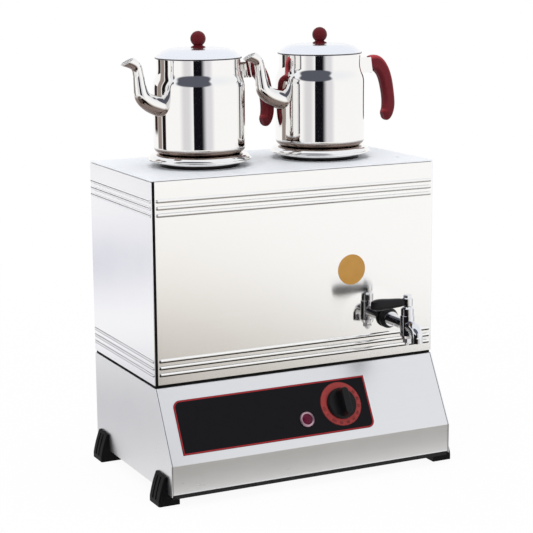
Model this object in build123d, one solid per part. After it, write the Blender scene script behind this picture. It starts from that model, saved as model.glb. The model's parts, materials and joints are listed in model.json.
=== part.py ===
from build123d import *
import math
import os

# Electric tea urn: a stainless water tank in a beaded casing on a sloped control base,
# with a plug tap, a thermostat, and two teapots that stand over steam openings in the top.
# Millimetres, +Z up, front of the urn facing -Y, origin on the floor at the middle of the whole depth.

# Casing round the water tank
CASE_WIDTH = 430.0
CASE_DEPTH = 228.0
CASE_HEIGHT = 276.0
CASE_SHEET = 1.0
TOP_SHEET = 1.5
TOP_CORNER_RADIUS = 2.0
CORNER_GAP = 4.0
TOP_GAP = 0.8
SEAL_RECESS = 0.8
SEAL_DEPTH = 4.0

# Stiffening beads rolled into the casing panels
BEAD_COUNT = 3
BEAD_PITCH = 9.5
BEAD_RADIUS = 3.2
BEAD_RISE = 1.6
BEAD_END = 0.8
BEAD_TOP_DROP = 28.0
BEAD_BOTTOM_RISE = 13.5

# Water tank inside the casing
JACKET_GAP = 8.0
TANK_WALL = 1.2

# Rubber gasket in the seam between tank and base
GASKET_THICKNESS = 4.0
GASKET_WIDTH = 13.0
GASKET_RECESS = 1.5

# Base under the tank
BASE_HEIGHT = 136.0
BASE_SHEET = 1.2
BASE_SEAM = 0.8
FLANGE = 14.0
SLOPE_OUT = 52.0
SLOPE_DROP = 94.0
BEND_RADIUS = 1.5
COVER_SHEET = 1.2
COVER_INSET = 2.0
DRIP_EDGE = 4.0

# Corner feet
FOOT_HEIGHT = 16.0
FOOT_OUT = 13.0
FOOT_IN = 17.0
FOOT_LENGTH = 35.0
FOOT_INSET = 14.0
FOOT_TONGUE = 24.0
FOOT_TONGUE_TIP = 3.5
FOOT_SKIRT = 7.0
FOOT_ROUND = 2.5
FOOT_GROOVE_WIDTH = 4.0
FOOT_GROOVE_DEPTH = 0.9
FOOT_GROOVE_SPACING = 10.0

# Screws
SCREW_RADIUS = 2.0
SCREW_HEAD_RADIUS = 3.8
SCREW_HEAD_HEIGHT = 2.2
SCREW_LENGTH = 9.0
SCREW_CLEARANCE = 0.2
COVER_SCREWS_PER_SIDE = 3

# Control label on the slope
LABEL_WIDTH = 292.0
LABEL_HEIGHT = 75.0
LABEL_THICKNESS = 0.5
LABEL_CORNER = 10.0
LABEL_LEFT_MARGIN = 20.0
LABEL_TOP_MARGIN = 20.0

# Thermostat and its knob
DIAL_FROM_LABEL_RIGHT = 45.0
DIAL_FROM_LABEL_TOP = 36.0
DIAL_RADIUS = 31.5
DIAL_THICKNESS = 0.5
KNOB_RADIUS = 22.0
KNOB_SKIRT_HEIGHT = 6.0
KNOB_HEIGHT = 21.0
KNOB_GRIP_WIDTH = 13.0
KNOB_GRIP_TAPER = 4.0
KNOB_GAP = 0.5
KNOB_HOLLOW_RADIUS = 13.0
KNOB_HOLLOW_DEPTH = 5.0
SHAFT_RADIUS = 3.0
SHAFT_CLEARANCE = 0.05
SHAFT_DEPTH_IN_KNOB = 9.0
BUSH_RADIUS = 5.0
BUSH_CLEARANCE = 0.3
THERMOSTAT_WIDTH = 44.0
THERMOSTAT_LENGTH = 36.0
THERMOSTAT_DEPTH = 24.0
BUSH_NUT_RADIUS = 9.0
BUSH_NUT_HEIGHT = 2.5

# Pilot lamp
PILOT_FROM_LABEL_RIGHT = 102.0
PILOT_FROM_LABEL_TOP = 51.0
PILOT_BEZEL_RADIUS = 10.8
PILOT_BEZEL_HEIGHT = 3.0
PILOT_LENS_RADIUS = 7.8
PILOT_LENS_RISE = 3.4
PILOT_DOME_RADIUS = 18.0
PILOT_STEM_RADIUS = 6.0
PILOT_BODY_RADIUS = 8.5
PILOT_BODY_LENGTH = 26.0
PILOT_CLEARANCE = 0.2
PILOT_TAG_THICKNESS = 0.8
PILOT_TAG_WIDTH = 6.0
PILOT_TAG_LENGTH = 8.0

# Plug tap
TAP_FROM_RIGHT = 73.5
TAP_RISE = 60.0
TAP_AXIS_OUT = 56.0
SHANK_RADIUS = 8.0
SHANK_BORE_RADIUS = 5.0
SHANK_INSIDE = 12.0
SHANK_CLEARANCE = 0.2
TAP_WASHER_RADIUS = 13.0
TAP_WASHER_THICKNESS = 2.0
COLLAR_RADIUS = 14.5
COLLAR_LENGTH = 8.0
SHOULDER_RADIUS = 10.5
SHOULDER_LENGTH = 4.0
LOCK_NUT_RADIUS = 13.0
LOCK_NUT_LENGTH = 6.0
BARREL_RADIUS = 10.0
BARREL_ABOVE = 14.0
BARREL_BELOW = 18.0
BARREL_CHAMFER = 2.0
PLUG_TOP_RADIUS = 7.0
PLUG_BOTTOM_RADIUS = 6.0
PLUG_CLEARANCE = 0.06
PLUG_PORT_RADIUS = 4.0
STEM_RADIUS = 5.0
BONNET_RADIUS = 9.0
BONNET_HEIGHT = 12.0
LEVER_GAP = 1.2
LEVER_HUB_RADIUS = 7.5
LEVER_HUB_HEIGHT = 12.0
LEVER_LENGTH = 56.0
LEVER_ROOT_HEIGHT = 10.0
LEVER_ROOT_WIDTH = 10.0
LEVER_BELLY_HEIGHT = 15.5
LEVER_BELLY_WIDTH = 13.5
LEVER_STUD_RADIUS = 2.5
LEVER_STUD_LENGTH = 18.0
LEVER_FIT = 0.05
LEVER_ROUNDING = 0.42
CAP_NUT_RADIUS = 6.5
CAP_NUT_HEIGHT = 4.5
PLUG_NUT_RADIUS = 7.0
PLUG_NUT_HEIGHT = 6.0
PLUG_TIP_RADIUS = 3.5
PLUG_TIP_LENGTH = 4.5
SPOUT_OUT = 26.0
SPOUT_RADIUS = 8.0
SPOUT_BORE_RADIUS = 5.5
SPOUT_BEND_RADIUS = 13.0
SPOUT_DROP = 20.0

# Heater, temperature bulb and wiring points
HEATER_TUBE_RADIUS = 4.2
HEATER_RISE = 38.0
HEATER_HALF_LENGTH = 160.0
HEATER_LOOP_WIDTH = 50.0
HEATER_BEND_RADIUS = 18.0
HEATER_LEG_SPACING = 26.0
HEATER_LEG_BELOW = 14.0
HEATER_FLANGE_RADIUS = 32.0
HEATER_FLANGE_THICKNESS = 5.0
HEATER_SEAL_THICKNESS = 2.0
HEATER_HOLE_RADIUS = 22.0
HEATER_BOLT_CIRCLE = 27.0
HEATER_BOLTS = 6
HEATER_NUT_RADIUS = 4.0
HEATER_NUT_HEIGHT = 3.2
BULB_RADIUS = 3.0
BULB_LENGTH = 60.0
BULB_POCKET_WALL = 0.8
CAPILLARY_RADIUS = 1.0
CAPILLARY_BEND = 14.0
BULB_OFFSET = 12.0
TERMINAL_WIDTH = 46.0
TERMINAL_DEPTH = 22.0
TERMINAL_HEIGHT = 18.0
TERMINAL_WAYS = 3

# Cable gland at the back of the base
GLAND_FROM_LEFT = 60.0
GLAND_RISE = 34.0
GLAND_REACH = 22.0
GLAND_HEX_RADIUS = 12.0
GLAND_HEX_LENGTH = 6.0
GLAND_DOME_RADIUS = 10.0
GLAND_BORE_RADIUS = 4.5
GLAND_THREAD_RADIUS = 8.0
GLAND_THREAD_LENGTH = 10.0
GLAND_NUT_LENGTH = 5.0
GLAND_DOME_TAPER = 6.0

# Steam openings and the loose rings that the teapots stand on
STEAM_HOLE_RADIUS = 53.0
RING_COLLAR_CLEARANCE = 1.0
RING_SHEET = 1.5
RING_SEAT_HEIGHT = 17.5
RING_STEAM_RADIUS = 42.0
RING_LEG_RADIUS = 56.0
RING_SEAT_RADIUS = 58.0
RING_RIM_RADIUS = 72.0
RING_RIM_DROP = 8.0
RING_BEAD_RADIUS = 1.8
RING_COLLAR_DEPTH = 8.0
VENT_RADIUS = 2.5
VENT_FROM_RIGHT = 27.0
VENT_FROM_FRONT = 52.0

# Teapots
POT_RADIUS = 64.0
POT_WALL = 1.0
POT_HEIGHT = 130.0
POT_BOTTOM_ROUND = 10.0
POT_NECK_RADIUS = 58.0
POT_NECK_LENGTH = 20.0
POT_SHOULDER_HEIGHT = 14.5
POT_SHOULDER_ROUND = 9.0
POT_GAP = 61.0
LEFT_POT_TURN = 11.0
RIGHT_POT_TURN = 4.0

# Teapot lid and its knob
LID_OVERHANG = 1.5
LID_SHEET = 1.0
LID_RIM = 1.4
LID_DOME = 13.5
LID_SKIRT_CLEARANCE = 0.6
LID_SKIRT_DEPTH = 8.0
LID_KNOB_RADIUS = 10.6
LID_KNOB_FOOT_RADIUS = 10.0
LID_KNOB_NECK_RADIUS = 6.4
LID_KNOB_NECK = 4.0
LID_STUD_RADIUS = 2.5
LID_STUD_LENGTH = 7.0

# Teapot spout, measured from the pot's wall and rim
POT_SPOUT_WALL = 1.2
POT_SPOUT_ROOT_RADIUS = 14.0
POT_SPOUT_TUBE_RADIUS = 7.0
POT_SPOUT_ROOT_SHARE = 0.52
POT_SPOUT_STANDOFF = 32.0
POT_SPOUT_TIP_REACH = 60.0
POT_SPOUT_MOUTH_TILT = 26.0
POT_SPOUT_TIP_RISE = 2.0

# Teapot handle, measured from the pot's wall and rim
HANDLE_BRACKET_LENGTH = 21.0
HANDLE_BRACKET_HEIGHT = 22.0
HANDLE_BRACKET_WIDTH = 14.0
HANDLE_BRACKET_DROP = 19.0
HANDLE_BRACKET_CLEARANCE = 0.05
HANDLE_REACH = 54.0
HANDLE_THICKNESS = 20.0
HANDLE_WIDTH = 16.0
HANDLE_ROUNDING = 0.38
HANDLE_DROP = 78.0

# Levels and planes worked out from the sizes above
HALF_WIDTH = CASE_WIDTH / 2
Z_BASE = FOOT_HEIGHT
Z_LIP = Z_BASE + COVER_SHEET
Z_SEAM = Z_BASE + BASE_HEIGHT
Z_KNEE = Z_SEAM - SLOPE_DROP
Z_CASE = Z_SEAM + GASKET_THICKNESS
Z_TOP = Z_CASE + CASE_HEIGHT
Z_PLATE = Z_TOP - TOP_SHEET
TAP_REACH = TAP_AXIS_OUT + SPOUT_OUT + SPOUT_RADIUS
Y_FRONT = (TAP_REACH - CASE_DEPTH - GLAND_REACH) / 2
Y_BACK = Y_FRONT + CASE_DEPTH
Y_MIDDLE = (Y_FRONT + Y_BACK) / 2
Y_LIP = Y_FRONT - SLOPE_OUT
SLOPE_PLANE = Plane(origin=(0, Y_FRONT, Z_SEAM), x_dir=(1, 0, 0), z_dir=(0, -SLOPE_DROP, SLOPE_OUT))
LABEL_LEFT = -HALF_WIDTH + LABEL_LEFT_MARGIN
LABEL_RIGHT = LABEL_LEFT + LABEL_WIDTH
DIAL_AT = (LABEL_RIGHT - DIAL_FROM_LABEL_RIGHT, -LABEL_TOP_MARGIN - DIAL_FROM_LABEL_TOP)
PILOT_AT = (LABEL_RIGHT - PILOT_FROM_LABEL_RIGHT, -LABEL_TOP_MARGIN - PILOT_FROM_LABEL_TOP)
TAP_X = HALF_WIDTH - TAP_FROM_RIGHT
TAP_Z = Z_SEAM + TAP_RISE
TAP_Y = Y_FRONT - TAP_AXIS_OUT
TANK_FRONT = Y_FRONT + JACKET_GAP
TANK_BACK = Y_BACK - JACKET_GAP
TANK_SIDE = HALF_WIDTH - JACKET_GAP
TANK_FLOOR = Z_CASE + TANK_WALL
GLAND_X = -HALF_WIDTH + GLAND_FROM_LEFT
GLAND_Z = Z_BASE + GLAND_RISE
POT_X = POT_RADIUS + POT_GAP / 2
POT_Z = Z_TOP + RING_SEAT_HEIGHT
POT_SHOULDER_HIGH = POT_HEIGHT - POT_NECK_LENGTH
POT_SHOULDER_LOW = POT_SHOULDER_HIGH - POT_SHOULDER_HEIGHT
POT_SPOUT_ROOT_HEIGHT = POT_HEIGHT * POT_SPOUT_ROOT_SHARE
POT_SPOUT_TIP_HEIGHT = POT_HEIGHT + POT_SPOUT_TIP_RISE
HANDLE_BRACKET_LEVEL = POT_HEIGHT - HANDLE_BRACKET_DROP
SPOUT_TOP = BARREL_ABOVE + BONNET_HEIGHT
LEVER_Z = SPOUT_TOP + LEVER_GAP


def block(x0, x1, y0, y1, z0, z1):
    """A box between two corners."""
    return Pos((x0 + x1) / 2, (y0 + y1) / 2, (z0 + z1) / 2) * Box(x1 - x0, y1 - y0, z1 - z0)


def rod(start, direction, radius, length):
    """A round bar from a point along a direction."""
    return extrude(Plane(origin=start, z_dir=direction) * Circle(radius), amount=length)


def hex_bar(start, direction, radius, length):
    """A six-sided bar from a point along a direction."""
    return extrude(Plane(origin=start, z_dir=direction) * RegularPolygon(radius, 6), amount=length)


def turned(points):
    """A solid of revolution about Z from (radius, height) points."""
    return revolve(Plane.XZ * make_face(Polyline(*points, close=True)), Axis.Z)


def shifted_inside(points, distance):
    """An open outline moved to its left by a distance, with its corners mitred."""
    vectors = [Vector(*point) for point in points]
    steps = [(b - a).normalized() for a, b in zip(vectors, vectors[1:])]
    normals = [Vector(-step.Y, step.X) for step in steps]
    moved = [vectors[0] + normals[0] * distance]
    for corner, before, after in zip(vectors[1:], normals, normals[1:]):
        bisector = before + after
        moved.append(corner + bisector * (2 * distance / bisector.dot(bisector)))
    moved.append(vectors[-1] + normals[-1] * distance)
    return [(point.X, point.Y) for point in moved]


def folded_sheet(points, half_length, thickness):
    """Sheet metal folded along (y, z) points and running along X on both sides of the middle."""
    inner = shifted_inside(points, thickness)
    outer_line = FilletPolyline(*points, radius=BEND_RADIUS + thickness)
    inner_line = FilletPolyline(*inner, radius=BEND_RADIUS)
    ends = [Line(points[0], inner[0]), Line(points[-1], inner[-1])]
    edges = [*outer_line.edges(), *inner_line.edges(), *[end.edge() for end in ends]]
    return extrude(Plane.YZ * make_face(edges), amount=half_length, both=True)


def beaded_panel(length):
    """A casing panel along X, its outer face at y = 0 facing -Y, with the beads rolled outwards."""
    panel = block(-length / 2, length / 2, 0, CASE_SHEET, Z_CASE, Z_PLATE - TOP_GAP)
    low = [Z_CASE + BEAD_BOTTOM_RISE + n * BEAD_PITCH for n in range(BEAD_COUNT)]
    high = [Z_TOP - BEAD_TOP_DROP - n * BEAD_PITCH for n in range(BEAD_COUNT)]
    reach = length / 2 - BEAD_END - BEAD_RADIUS
    depth = BEAD_RADIUS - BEAD_RISE
    for level in low + high:
        ridge = rod((-reach, depth, level), (1, 0, 0), BEAD_RADIUS, 2 * reach)
        hollow = rod((-reach, depth, level), (1, 0, 0), BEAD_RADIUS - CASE_SHEET, 2 * reach)
        for end in (-reach, reach):
            ridge += Pos(end, depth, level) * Sphere(BEAD_RADIUS)
            hollow += Pos(end, depth, level) * Sphere(BEAD_RADIUS - CASE_SHEET)
        front = block(-length / 2, length / 2, -BEAD_RADIUS, CASE_SHEET / 2, Z_CASE, Z_PLATE)
        panel = panel + (ridge & front) - hollow
    return panel


def make_casing():
    front = Pos(CORNER_GAP / 2, Y_FRONT, 0) * beaded_panel(CASE_WIDTH - 2 * CASE_SHEET - CORNER_GAP)
    front -= rod((TAP_X, Y_FRONT - 1, TAP_Z), (0, 1, 0), SHANK_RADIUS + SHANK_CLEARANCE, CASE_SHEET + 2)
    side = beaded_panel(CASE_DEPTH)
    left = Pos(-HALF_WIDTH, Y_MIDDLE, 0) * Rot(0, 0, -90) * side
    right = Pos(HALF_WIDTH, Y_MIDDLE, 0) * Rot(0, 0, 90) * side
    back = Pos(0, Y_BACK, 0) * Rot(0, 0, 180) * beaded_panel(CASE_WIDTH - 2 * CASE_SHEET)
    seal_left = -HALF_WIDTH + CASE_SHEET
    seal_front = Y_FRONT + SEAL_RECESS
    return {
        "casing_front": front,
        "casing_left": left,
        "casing_right": right,
        "casing_back": back,
        "corner_seal": block(
            seal_left, seal_left + CORNER_GAP, seal_front, seal_front + SEAL_DEPTH, Z_CASE, Z_PLATE),
    }


def make_top_plate():
    plate = block(-HALF_WIDTH, HALF_WIDTH, Y_FRONT, Y_BACK, Z_PLATE, Z_TOP)
    plate = fillet(plate.edges().filter_by(Axis.Z), TOP_CORNER_RADIUS)
    for x in (-POT_X, POT_X):
        plate -= rod((x, Y_MIDDLE, Z_PLATE - 1), (0, 0, 1), STEAM_HOLE_RADIUS, TOP_SHEET + 2)
    vent = (HALF_WIDTH - VENT_FROM_RIGHT, Y_FRONT + VENT_FROM_FRONT, Z_PLATE - 1)
    return {"top_plate": plate - rod(vent, (0, 0, 1), VENT_RADIUS, TOP_SHEET + 2)}


def make_water_tank():
    tank = block(-TANK_SIDE, TANK_SIDE, TANK_FRONT, TANK_BACK, Z_CASE, Z_PLATE)
    inside = TANK_SIDE - TANK_WALL
    tank -= block(-inside, inside, TANK_FRONT + TANK_WALL, TANK_BACK - TANK_WALL, TANK_FLOOR, Z_TOP)
    through_front = JACKET_GAP + 2 * TANK_WALL
    through_floor = GASKET_THICKNESS + 2 * TANK_WALL
    tank -= rod((TAP_X, Y_FRONT, TAP_Z), (0, 1, 0), SHANK_RADIUS + SHANK_CLEARANCE, through_front)
    tank -= rod((0, Y_MIDDLE, Z_SEAM), (0, 0, 1), HEATER_HOLE_RADIUS, through_floor)
    for x, y in bolt_places():
        tank -= rod((x, y, Z_SEAM), (0, 0, 1), SCREW_RADIUS + SCREW_CLEARANCE, through_floor)
    return {"water_tank": tank}


def make_seam_gasket():
    outer_x = HALF_WIDTH - GASKET_RECESS
    front, back = Y_FRONT + GASKET_RECESS, Y_BACK - GASKET_RECESS
    frame = block(-outer_x, outer_x, front, back, Z_SEAM, Z_CASE)
    inner_x = outer_x - GASKET_WIDTH
    return {"seam_gasket": frame - block(
        -inner_x, inner_x, front + GASKET_WIDTH, back - GASKET_WIDTH, Z_SEAM - 1, Z_CASE + 1)}


def make_base():
    side_outline = [(Y_FRONT, Z_SEAM), (Y_LIP, Z_KNEE), (Y_LIP, Z_BASE), (Y_BACK, Z_BASE), (Y_BACK, Z_SEAM)]
    side = extrude(Plane.YZ * make_face(Polyline(*side_outline, close=True)), amount=BASE_SHEET)
    clear = FLANGE + BASE_SEAM
    side += block(BASE_SHEET, BASE_SHEET + FLANGE, Y_FRONT + clear, Y_BACK - clear,
                  Z_SEAM - BASE_SHEET, Z_SEAM)
    left = Pos(-HALF_WIDTH, 0, 0) * side
    inner_half = HALF_WIDTH - BASE_SHEET - BASE_SEAM
    front = folded_sheet([(Y_FRONT + FLANGE, Z_SEAM), (Y_FRONT, Z_SEAM), (Y_LIP, Z_KNEE),
                          (Y_LIP, Z_LIP), (Y_LIP + FLANGE, Z_LIP)], inner_half, BASE_SHEET)
    front -= SLOPE_PLANE * Pos(*DIAL_AT) * Cylinder(BUSH_RADIUS + BUSH_CLEARANCE, 6 * BASE_SHEET)
    front -= SLOPE_PLANE * Pos(*PILOT_AT) * Cylinder(PILOT_STEM_RADIUS + PILOT_CLEARANCE, 6 * BASE_SHEET)
    back = folded_sheet([(Y_BACK - FLANGE, Z_LIP), (Y_BACK, Z_LIP), (Y_BACK, Z_SEAM),
                         (Y_BACK - FLANGE, Z_SEAM)], inner_half, BASE_SHEET)
    back -= rod((GLAND_X, Y_BACK - 2 * BASE_SHEET, GLAND_Z), (0, 1, 0),
                GLAND_THREAD_RADIUS + SHANK_CLEARANCE, 4 * BASE_SHEET)
    cover = block(-inner_half, inner_half, Y_LIP + COVER_INSET, Y_BACK - COVER_INSET, Z_BASE, Z_LIP)
    cover += block(-inner_half, inner_half, Y_LIP + COVER_INSET, Y_LIP + COVER_INSET + COVER_SHEET,
                   Z_BASE - DRIP_EDGE, Z_BASE)
    for x, y in cover_screw_places() + foot_screw_places():
        hole = rod((x, y, Z_BASE - 1), (0, 0, 1), SCREW_RADIUS + SCREW_CLEARANCE, FLANGE)
        cover -= hole
        front -= hole
        back -= hole
    return {
        "base_left_panel": left,
        "base_right_panel": mirror(left, Plane.YZ),
        "base_front_panel": front,
        "base_back_panel": back,
        "base_bottom_cover": cover,
    }


def cover_screw_places():
    """Where screws hold the bottom cover to the folded edges of the base."""
    spread = HALF_WIDTH - FOOT_IN - 2 * FLANGE
    columns = [spread * (2 * n / (COVER_SCREWS_PER_SIDE - 1) - 1) for n in range(COVER_SCREWS_PER_SIDE)]
    rows = (Y_LIP + FLANGE * 0.6, Y_BACK - FLANGE * 0.6)
    return [(x, y) for x in columns for y in rows]


def foot_screw_places():
    x = HALF_WIDTH - FOOT_IN / 2
    rows = (Y_LIP + FOOT_INSET + FOOT_LENGTH / 2, Y_BACK - FOOT_INSET - FOOT_LENGTH / 2)
    return [(side * x, y) for side in (-1, 1) for y in rows]


def screw(x, y, seat, length):
    """A pan-head screw driven upwards, its head below a seat."""
    head = rod((x, y, seat - SCREW_HEAD_HEIGHT), (0, 0, 1), SCREW_HEAD_RADIUS, SCREW_HEAD_HEIGHT)
    return head + rod((x, y, seat), (0, 0, 1), SCREW_RADIUS, length)


def make_screws():
    cover = [screw(x, y, Z_BASE, SCREW_LENGTH) for x, y in cover_screw_places()]
    foot_seat = 2 * SCREW_HEAD_HEIGHT
    foot = [screw(x, y, foot_seat, Z_BASE - foot_seat + SCREW_LENGTH) for x, y in foot_screw_places()]
    return {"cover_screws": Compound(children=cover), "foot_screws": Compound(children=foot)}


def foot_outline():
    """Section of a foot: x runs outwards from the side panel, y up from the floor."""
    top = FOOT_HEIGHT + FOOT_TONGUE
    middle = ((FOOT_OUT + FOOT_TONGUE_TIP) / 2 + FOOT_GROOVE_DEPTH, (FOOT_SKIRT + top) / 2)
    lines = [
        Polyline((FOOT_OUT, FOOT_SKIRT), (FOOT_OUT, 0), (-FOOT_IN, 0), (-FOOT_IN, FOOT_HEIGHT),
                 (0, FOOT_HEIGHT), (0, top), (FOOT_TONGUE_TIP, top)),
        ThreePointArc((FOOT_TONGUE_TIP, top), middle, (FOOT_OUT, FOOT_SKIRT)),
    ]
    return make_face([edge for line in lines for edge in line.edges()])


def make_feet():
    section = Plane.XZ * foot_outline()
    foot = extrude(section, amount=FOOT_LENGTH / 2, both=True)
    outer = [edge for edge in foot.edges() if edge.center().X > FOOT_TONGUE_TIP / 2
             and abs(abs(edge.center().Y) - FOOT_LENGTH / 2) < 0.01]
    foot = fillet(outer, FOOT_ROUND)
    slot = extrude(section, amount=FOOT_GROOVE_WIDTH / 2, both=True)
    slot -= Pos(-FOOT_GROOVE_DEPTH, 0, 0) * slot
    slot_top = FOOT_HEIGHT + FOOT_TONGUE - FOOT_ROUND
    slot &= block(0, FOOT_OUT, -FOOT_LENGTH, FOOT_LENGTH, FOOT_SKIRT, slot_top)
    for y in (-FOOT_GROOVE_SPACING / 2, FOOT_GROOVE_SPACING / 2):
        foot -= Pos(0, y, 0) * slot
    hole_x = -FOOT_IN / 2
    foot -= rod((hole_x, 0, -1), (0, 0, 1), SCREW_RADIUS + SCREW_CLEARANCE, FOOT_HEIGHT + 2)
    foot -= rod((hole_x, 0, -1), (0, 0, 1), SCREW_HEAD_RADIUS + SCREW_CLEARANCE, 1 + 2 * SCREW_HEAD_HEIGHT)
    feet = {}
    for x, y in foot_screw_places():
        name = f"foot_{'front' if y < Y_MIDDLE else 'rear'}_{'left' if x < 0 else 'right'}"
        placed = Pos(HALF_WIDTH, y, 0) * foot
        feet[name] = mirror(placed, Plane.YZ) if x < 0 else placed
    return feet


def on_slope(shape, at=(0, 0), height=0.0):
    """Places a shape made on the XY plane onto the base's slope."""
    return SLOPE_PLANE * Pos(at[0], at[1], height) * shape


def make_controls():
    label = Pos((LABEL_LEFT + LABEL_RIGHT) / 2, -LABEL_TOP_MARGIN - LABEL_HEIGHT / 2) * Rectangle(
        LABEL_WIDTH, LABEL_HEIGHT)
    corners = label.vertices().sort_by(lambda v: v.Y - v.X)
    label = fillet([corners[0], corners[-1]], LABEL_CORNER)
    label -= Pos(*DIAL_AT) * Circle(BUSH_RADIUS + BUSH_CLEARANCE)
    label -= Pos(*PILOT_AT) * Circle(PILOT_STEM_RADIUS + PILOT_CLEARANCE)
    dial = Circle(DIAL_RADIUS) - Circle(BUSH_RADIUS + BUSH_CLEARANCE)
    dial_top = LABEL_THICKNESS + DIAL_THICKNESS
    return {
        "control_label": on_slope(extrude(label, amount=LABEL_THICKNESS)),
        "dial_plate": on_slope(extrude(dial, amount=DIAL_THICKNESS), DIAL_AT, LABEL_THICKNESS),
        **make_thermostat(dial_top),
        **make_pilot_lamp(),
    }


def make_thermostat(dial_top):
    nut_top = dial_top + BUSH_NUT_HEIGHT
    knob_base = dial_top + KNOB_GAP
    shaft_end = -BASE_SHEET - THERMOSTAT_DEPTH / 2
    bore = SHAFT_RADIUS + SHAFT_CLEARANCE
    body = Pos(0, 0, -BASE_SHEET - THERMOSTAT_DEPTH / 2) * Box(
        THERMOSTAT_WIDTH, THERMOSTAT_LENGTH, THERMOSTAT_DEPTH)
    body = fillet(body.edges().filter_by(Axis.Z), BEND_RADIUS)
    body += rod((0, 0, -BASE_SHEET), (0, 0, 1), BUSH_RADIUS, BASE_SHEET + nut_top)
    body -= rod((0, 0, shaft_end - SHAFT_CLEARANCE), (0, 0, 1), bore, nut_top - shaft_end + 1)
    nut = hex_bar((0, 0, dial_top), (0, 0, 1), BUSH_NUT_RADIUS, BUSH_NUT_HEIGHT)
    nut -= rod((0, 0, 0), (0, 0, 1), BUSH_RADIUS + SHAFT_CLEARANCE, nut_top + 1)
    shaft_top = knob_base + KNOB_HOLLOW_DEPTH + SHAFT_DEPTH_IN_KNOB
    shaft = rod((0, 0, shaft_end), (0, 0, 1), SHAFT_RADIUS, shaft_top - shaft_end)
    return {
        "thermostat_body": on_slope(body, DIAL_AT),
        "thermostat_nut": on_slope(nut, DIAL_AT),
        "thermostat_shaft": on_slope(shaft, DIAL_AT),
        "thermostat_knob": on_slope(make_knob(shaft_top - knob_base), DIAL_AT, knob_base),
    }


def make_knob(shaft_depth):
    """Round skirt with a raised grip bar across it, hollow underneath round the shaft's boss."""
    top_radius = KNOB_RADIUS - KNOB_GAP * 4
    skirt = turned([(0, 0), (KNOB_RADIUS, 0), (KNOB_RADIUS, KNOB_SKIRT_HEIGHT * 0.6),
                    (top_radius, KNOB_SKIRT_HEIGHT), (0, KNOB_SKIRT_HEIGHT)])
    bar = SlotOverall(2 * top_radius, KNOB_GRIP_WIDTH, rotation=90)
    bar_base = KNOB_SKIRT_HEIGHT / 2
    knob = skirt + Pos(0, 0, bar_base) * extrude(bar, KNOB_HEIGHT - bar_base, taper=KNOB_GRIP_TAPER)
    knob = fillet(knob.faces().sort_by(Axis.Z)[-1].edges(), KNOB_GAP * 2)
    knob -= rod((0, 0, -1), (0, 0, 1), KNOB_HOLLOW_RADIUS, 1 + KNOB_HOLLOW_DEPTH)
    return knob - rod((0, 0, -1), (0, 0, 1), SHAFT_RADIUS + SHAFT_CLEARANCE, 1 + shaft_depth)


def make_pilot_lamp():
    inner, outer, height = PILOT_LENS_RADIUS, PILOT_BEZEL_RADIUS, PILOT_BEZEL_HEIGHT
    bezel = turned([(inner, 0), (outer, 0), (outer, height * 0.6), ((inner + outer * 2) / 3, height),
                    (inner, height * 0.7)])
    lens_edge = PILOT_LENS_RADIUS - PILOT_CLEARANCE
    crown = rod((0, 0, 0), (0, 0, 1), lens_edge, PILOT_LENS_RISE)
    crown &= Pos(0, 0, PILOT_LENS_RISE - PILOT_DOME_RADIUS) * Sphere(PILOT_DOME_RADIUS)
    stem = LABEL_THICKNESS + BASE_SHEET
    lens = crown + rod((0, 0, -stem), (0, 0, 1), PILOT_STEM_RADIUS, stem)
    body = rod((0, 0, -BASE_SHEET - PILOT_BODY_LENGTH), (0, 0, 1), PILOT_BODY_RADIUS, PILOT_BODY_LENGTH)
    tag_level = -BASE_SHEET - PILOT_BODY_LENGTH - PILOT_TAG_LENGTH / 2
    tag = Box(PILOT_TAG_THICKNESS, PILOT_TAG_WIDTH, PILOT_TAG_LENGTH)
    for side in (-1, 1):
        body += Pos(side * PILOT_STEM_RADIUS / 2, 0, tag_level) * tag
    return {
        "pilot_bezel": on_slope(bezel, PILOT_AT, LABEL_THICKNESS),
        "pilot_lens": on_slope(lens, PILOT_AT, LABEL_THICKNESS),
        "pilot_body": on_slope(body, PILOT_AT),
    }


def at_tap(shape):
    """Places a shape made about the tap's upright axis, with z = 0 at the shank's middle."""
    return Pos(TAP_X, TAP_Y, TAP_Z) * shape


def plug_radius(height):
    """Radius of the tapered plug at a height above the shank's middle."""
    share = (height + BARREL_BELOW) / (BARREL_ABOVE + BARREL_BELOW)
    return PLUG_BOTTOM_RADIUS + (PLUG_TOP_RADIUS - PLUG_BOTTOM_RADIUS) * share


def spout_path():
    points = [(0, 0), (-SPOUT_OUT, 0), (-SPOUT_OUT, -SPOUT_DROP)]
    return Plane.YZ * FilletPolyline(*points, radius=SPOUT_BEND_RADIUS)


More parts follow.
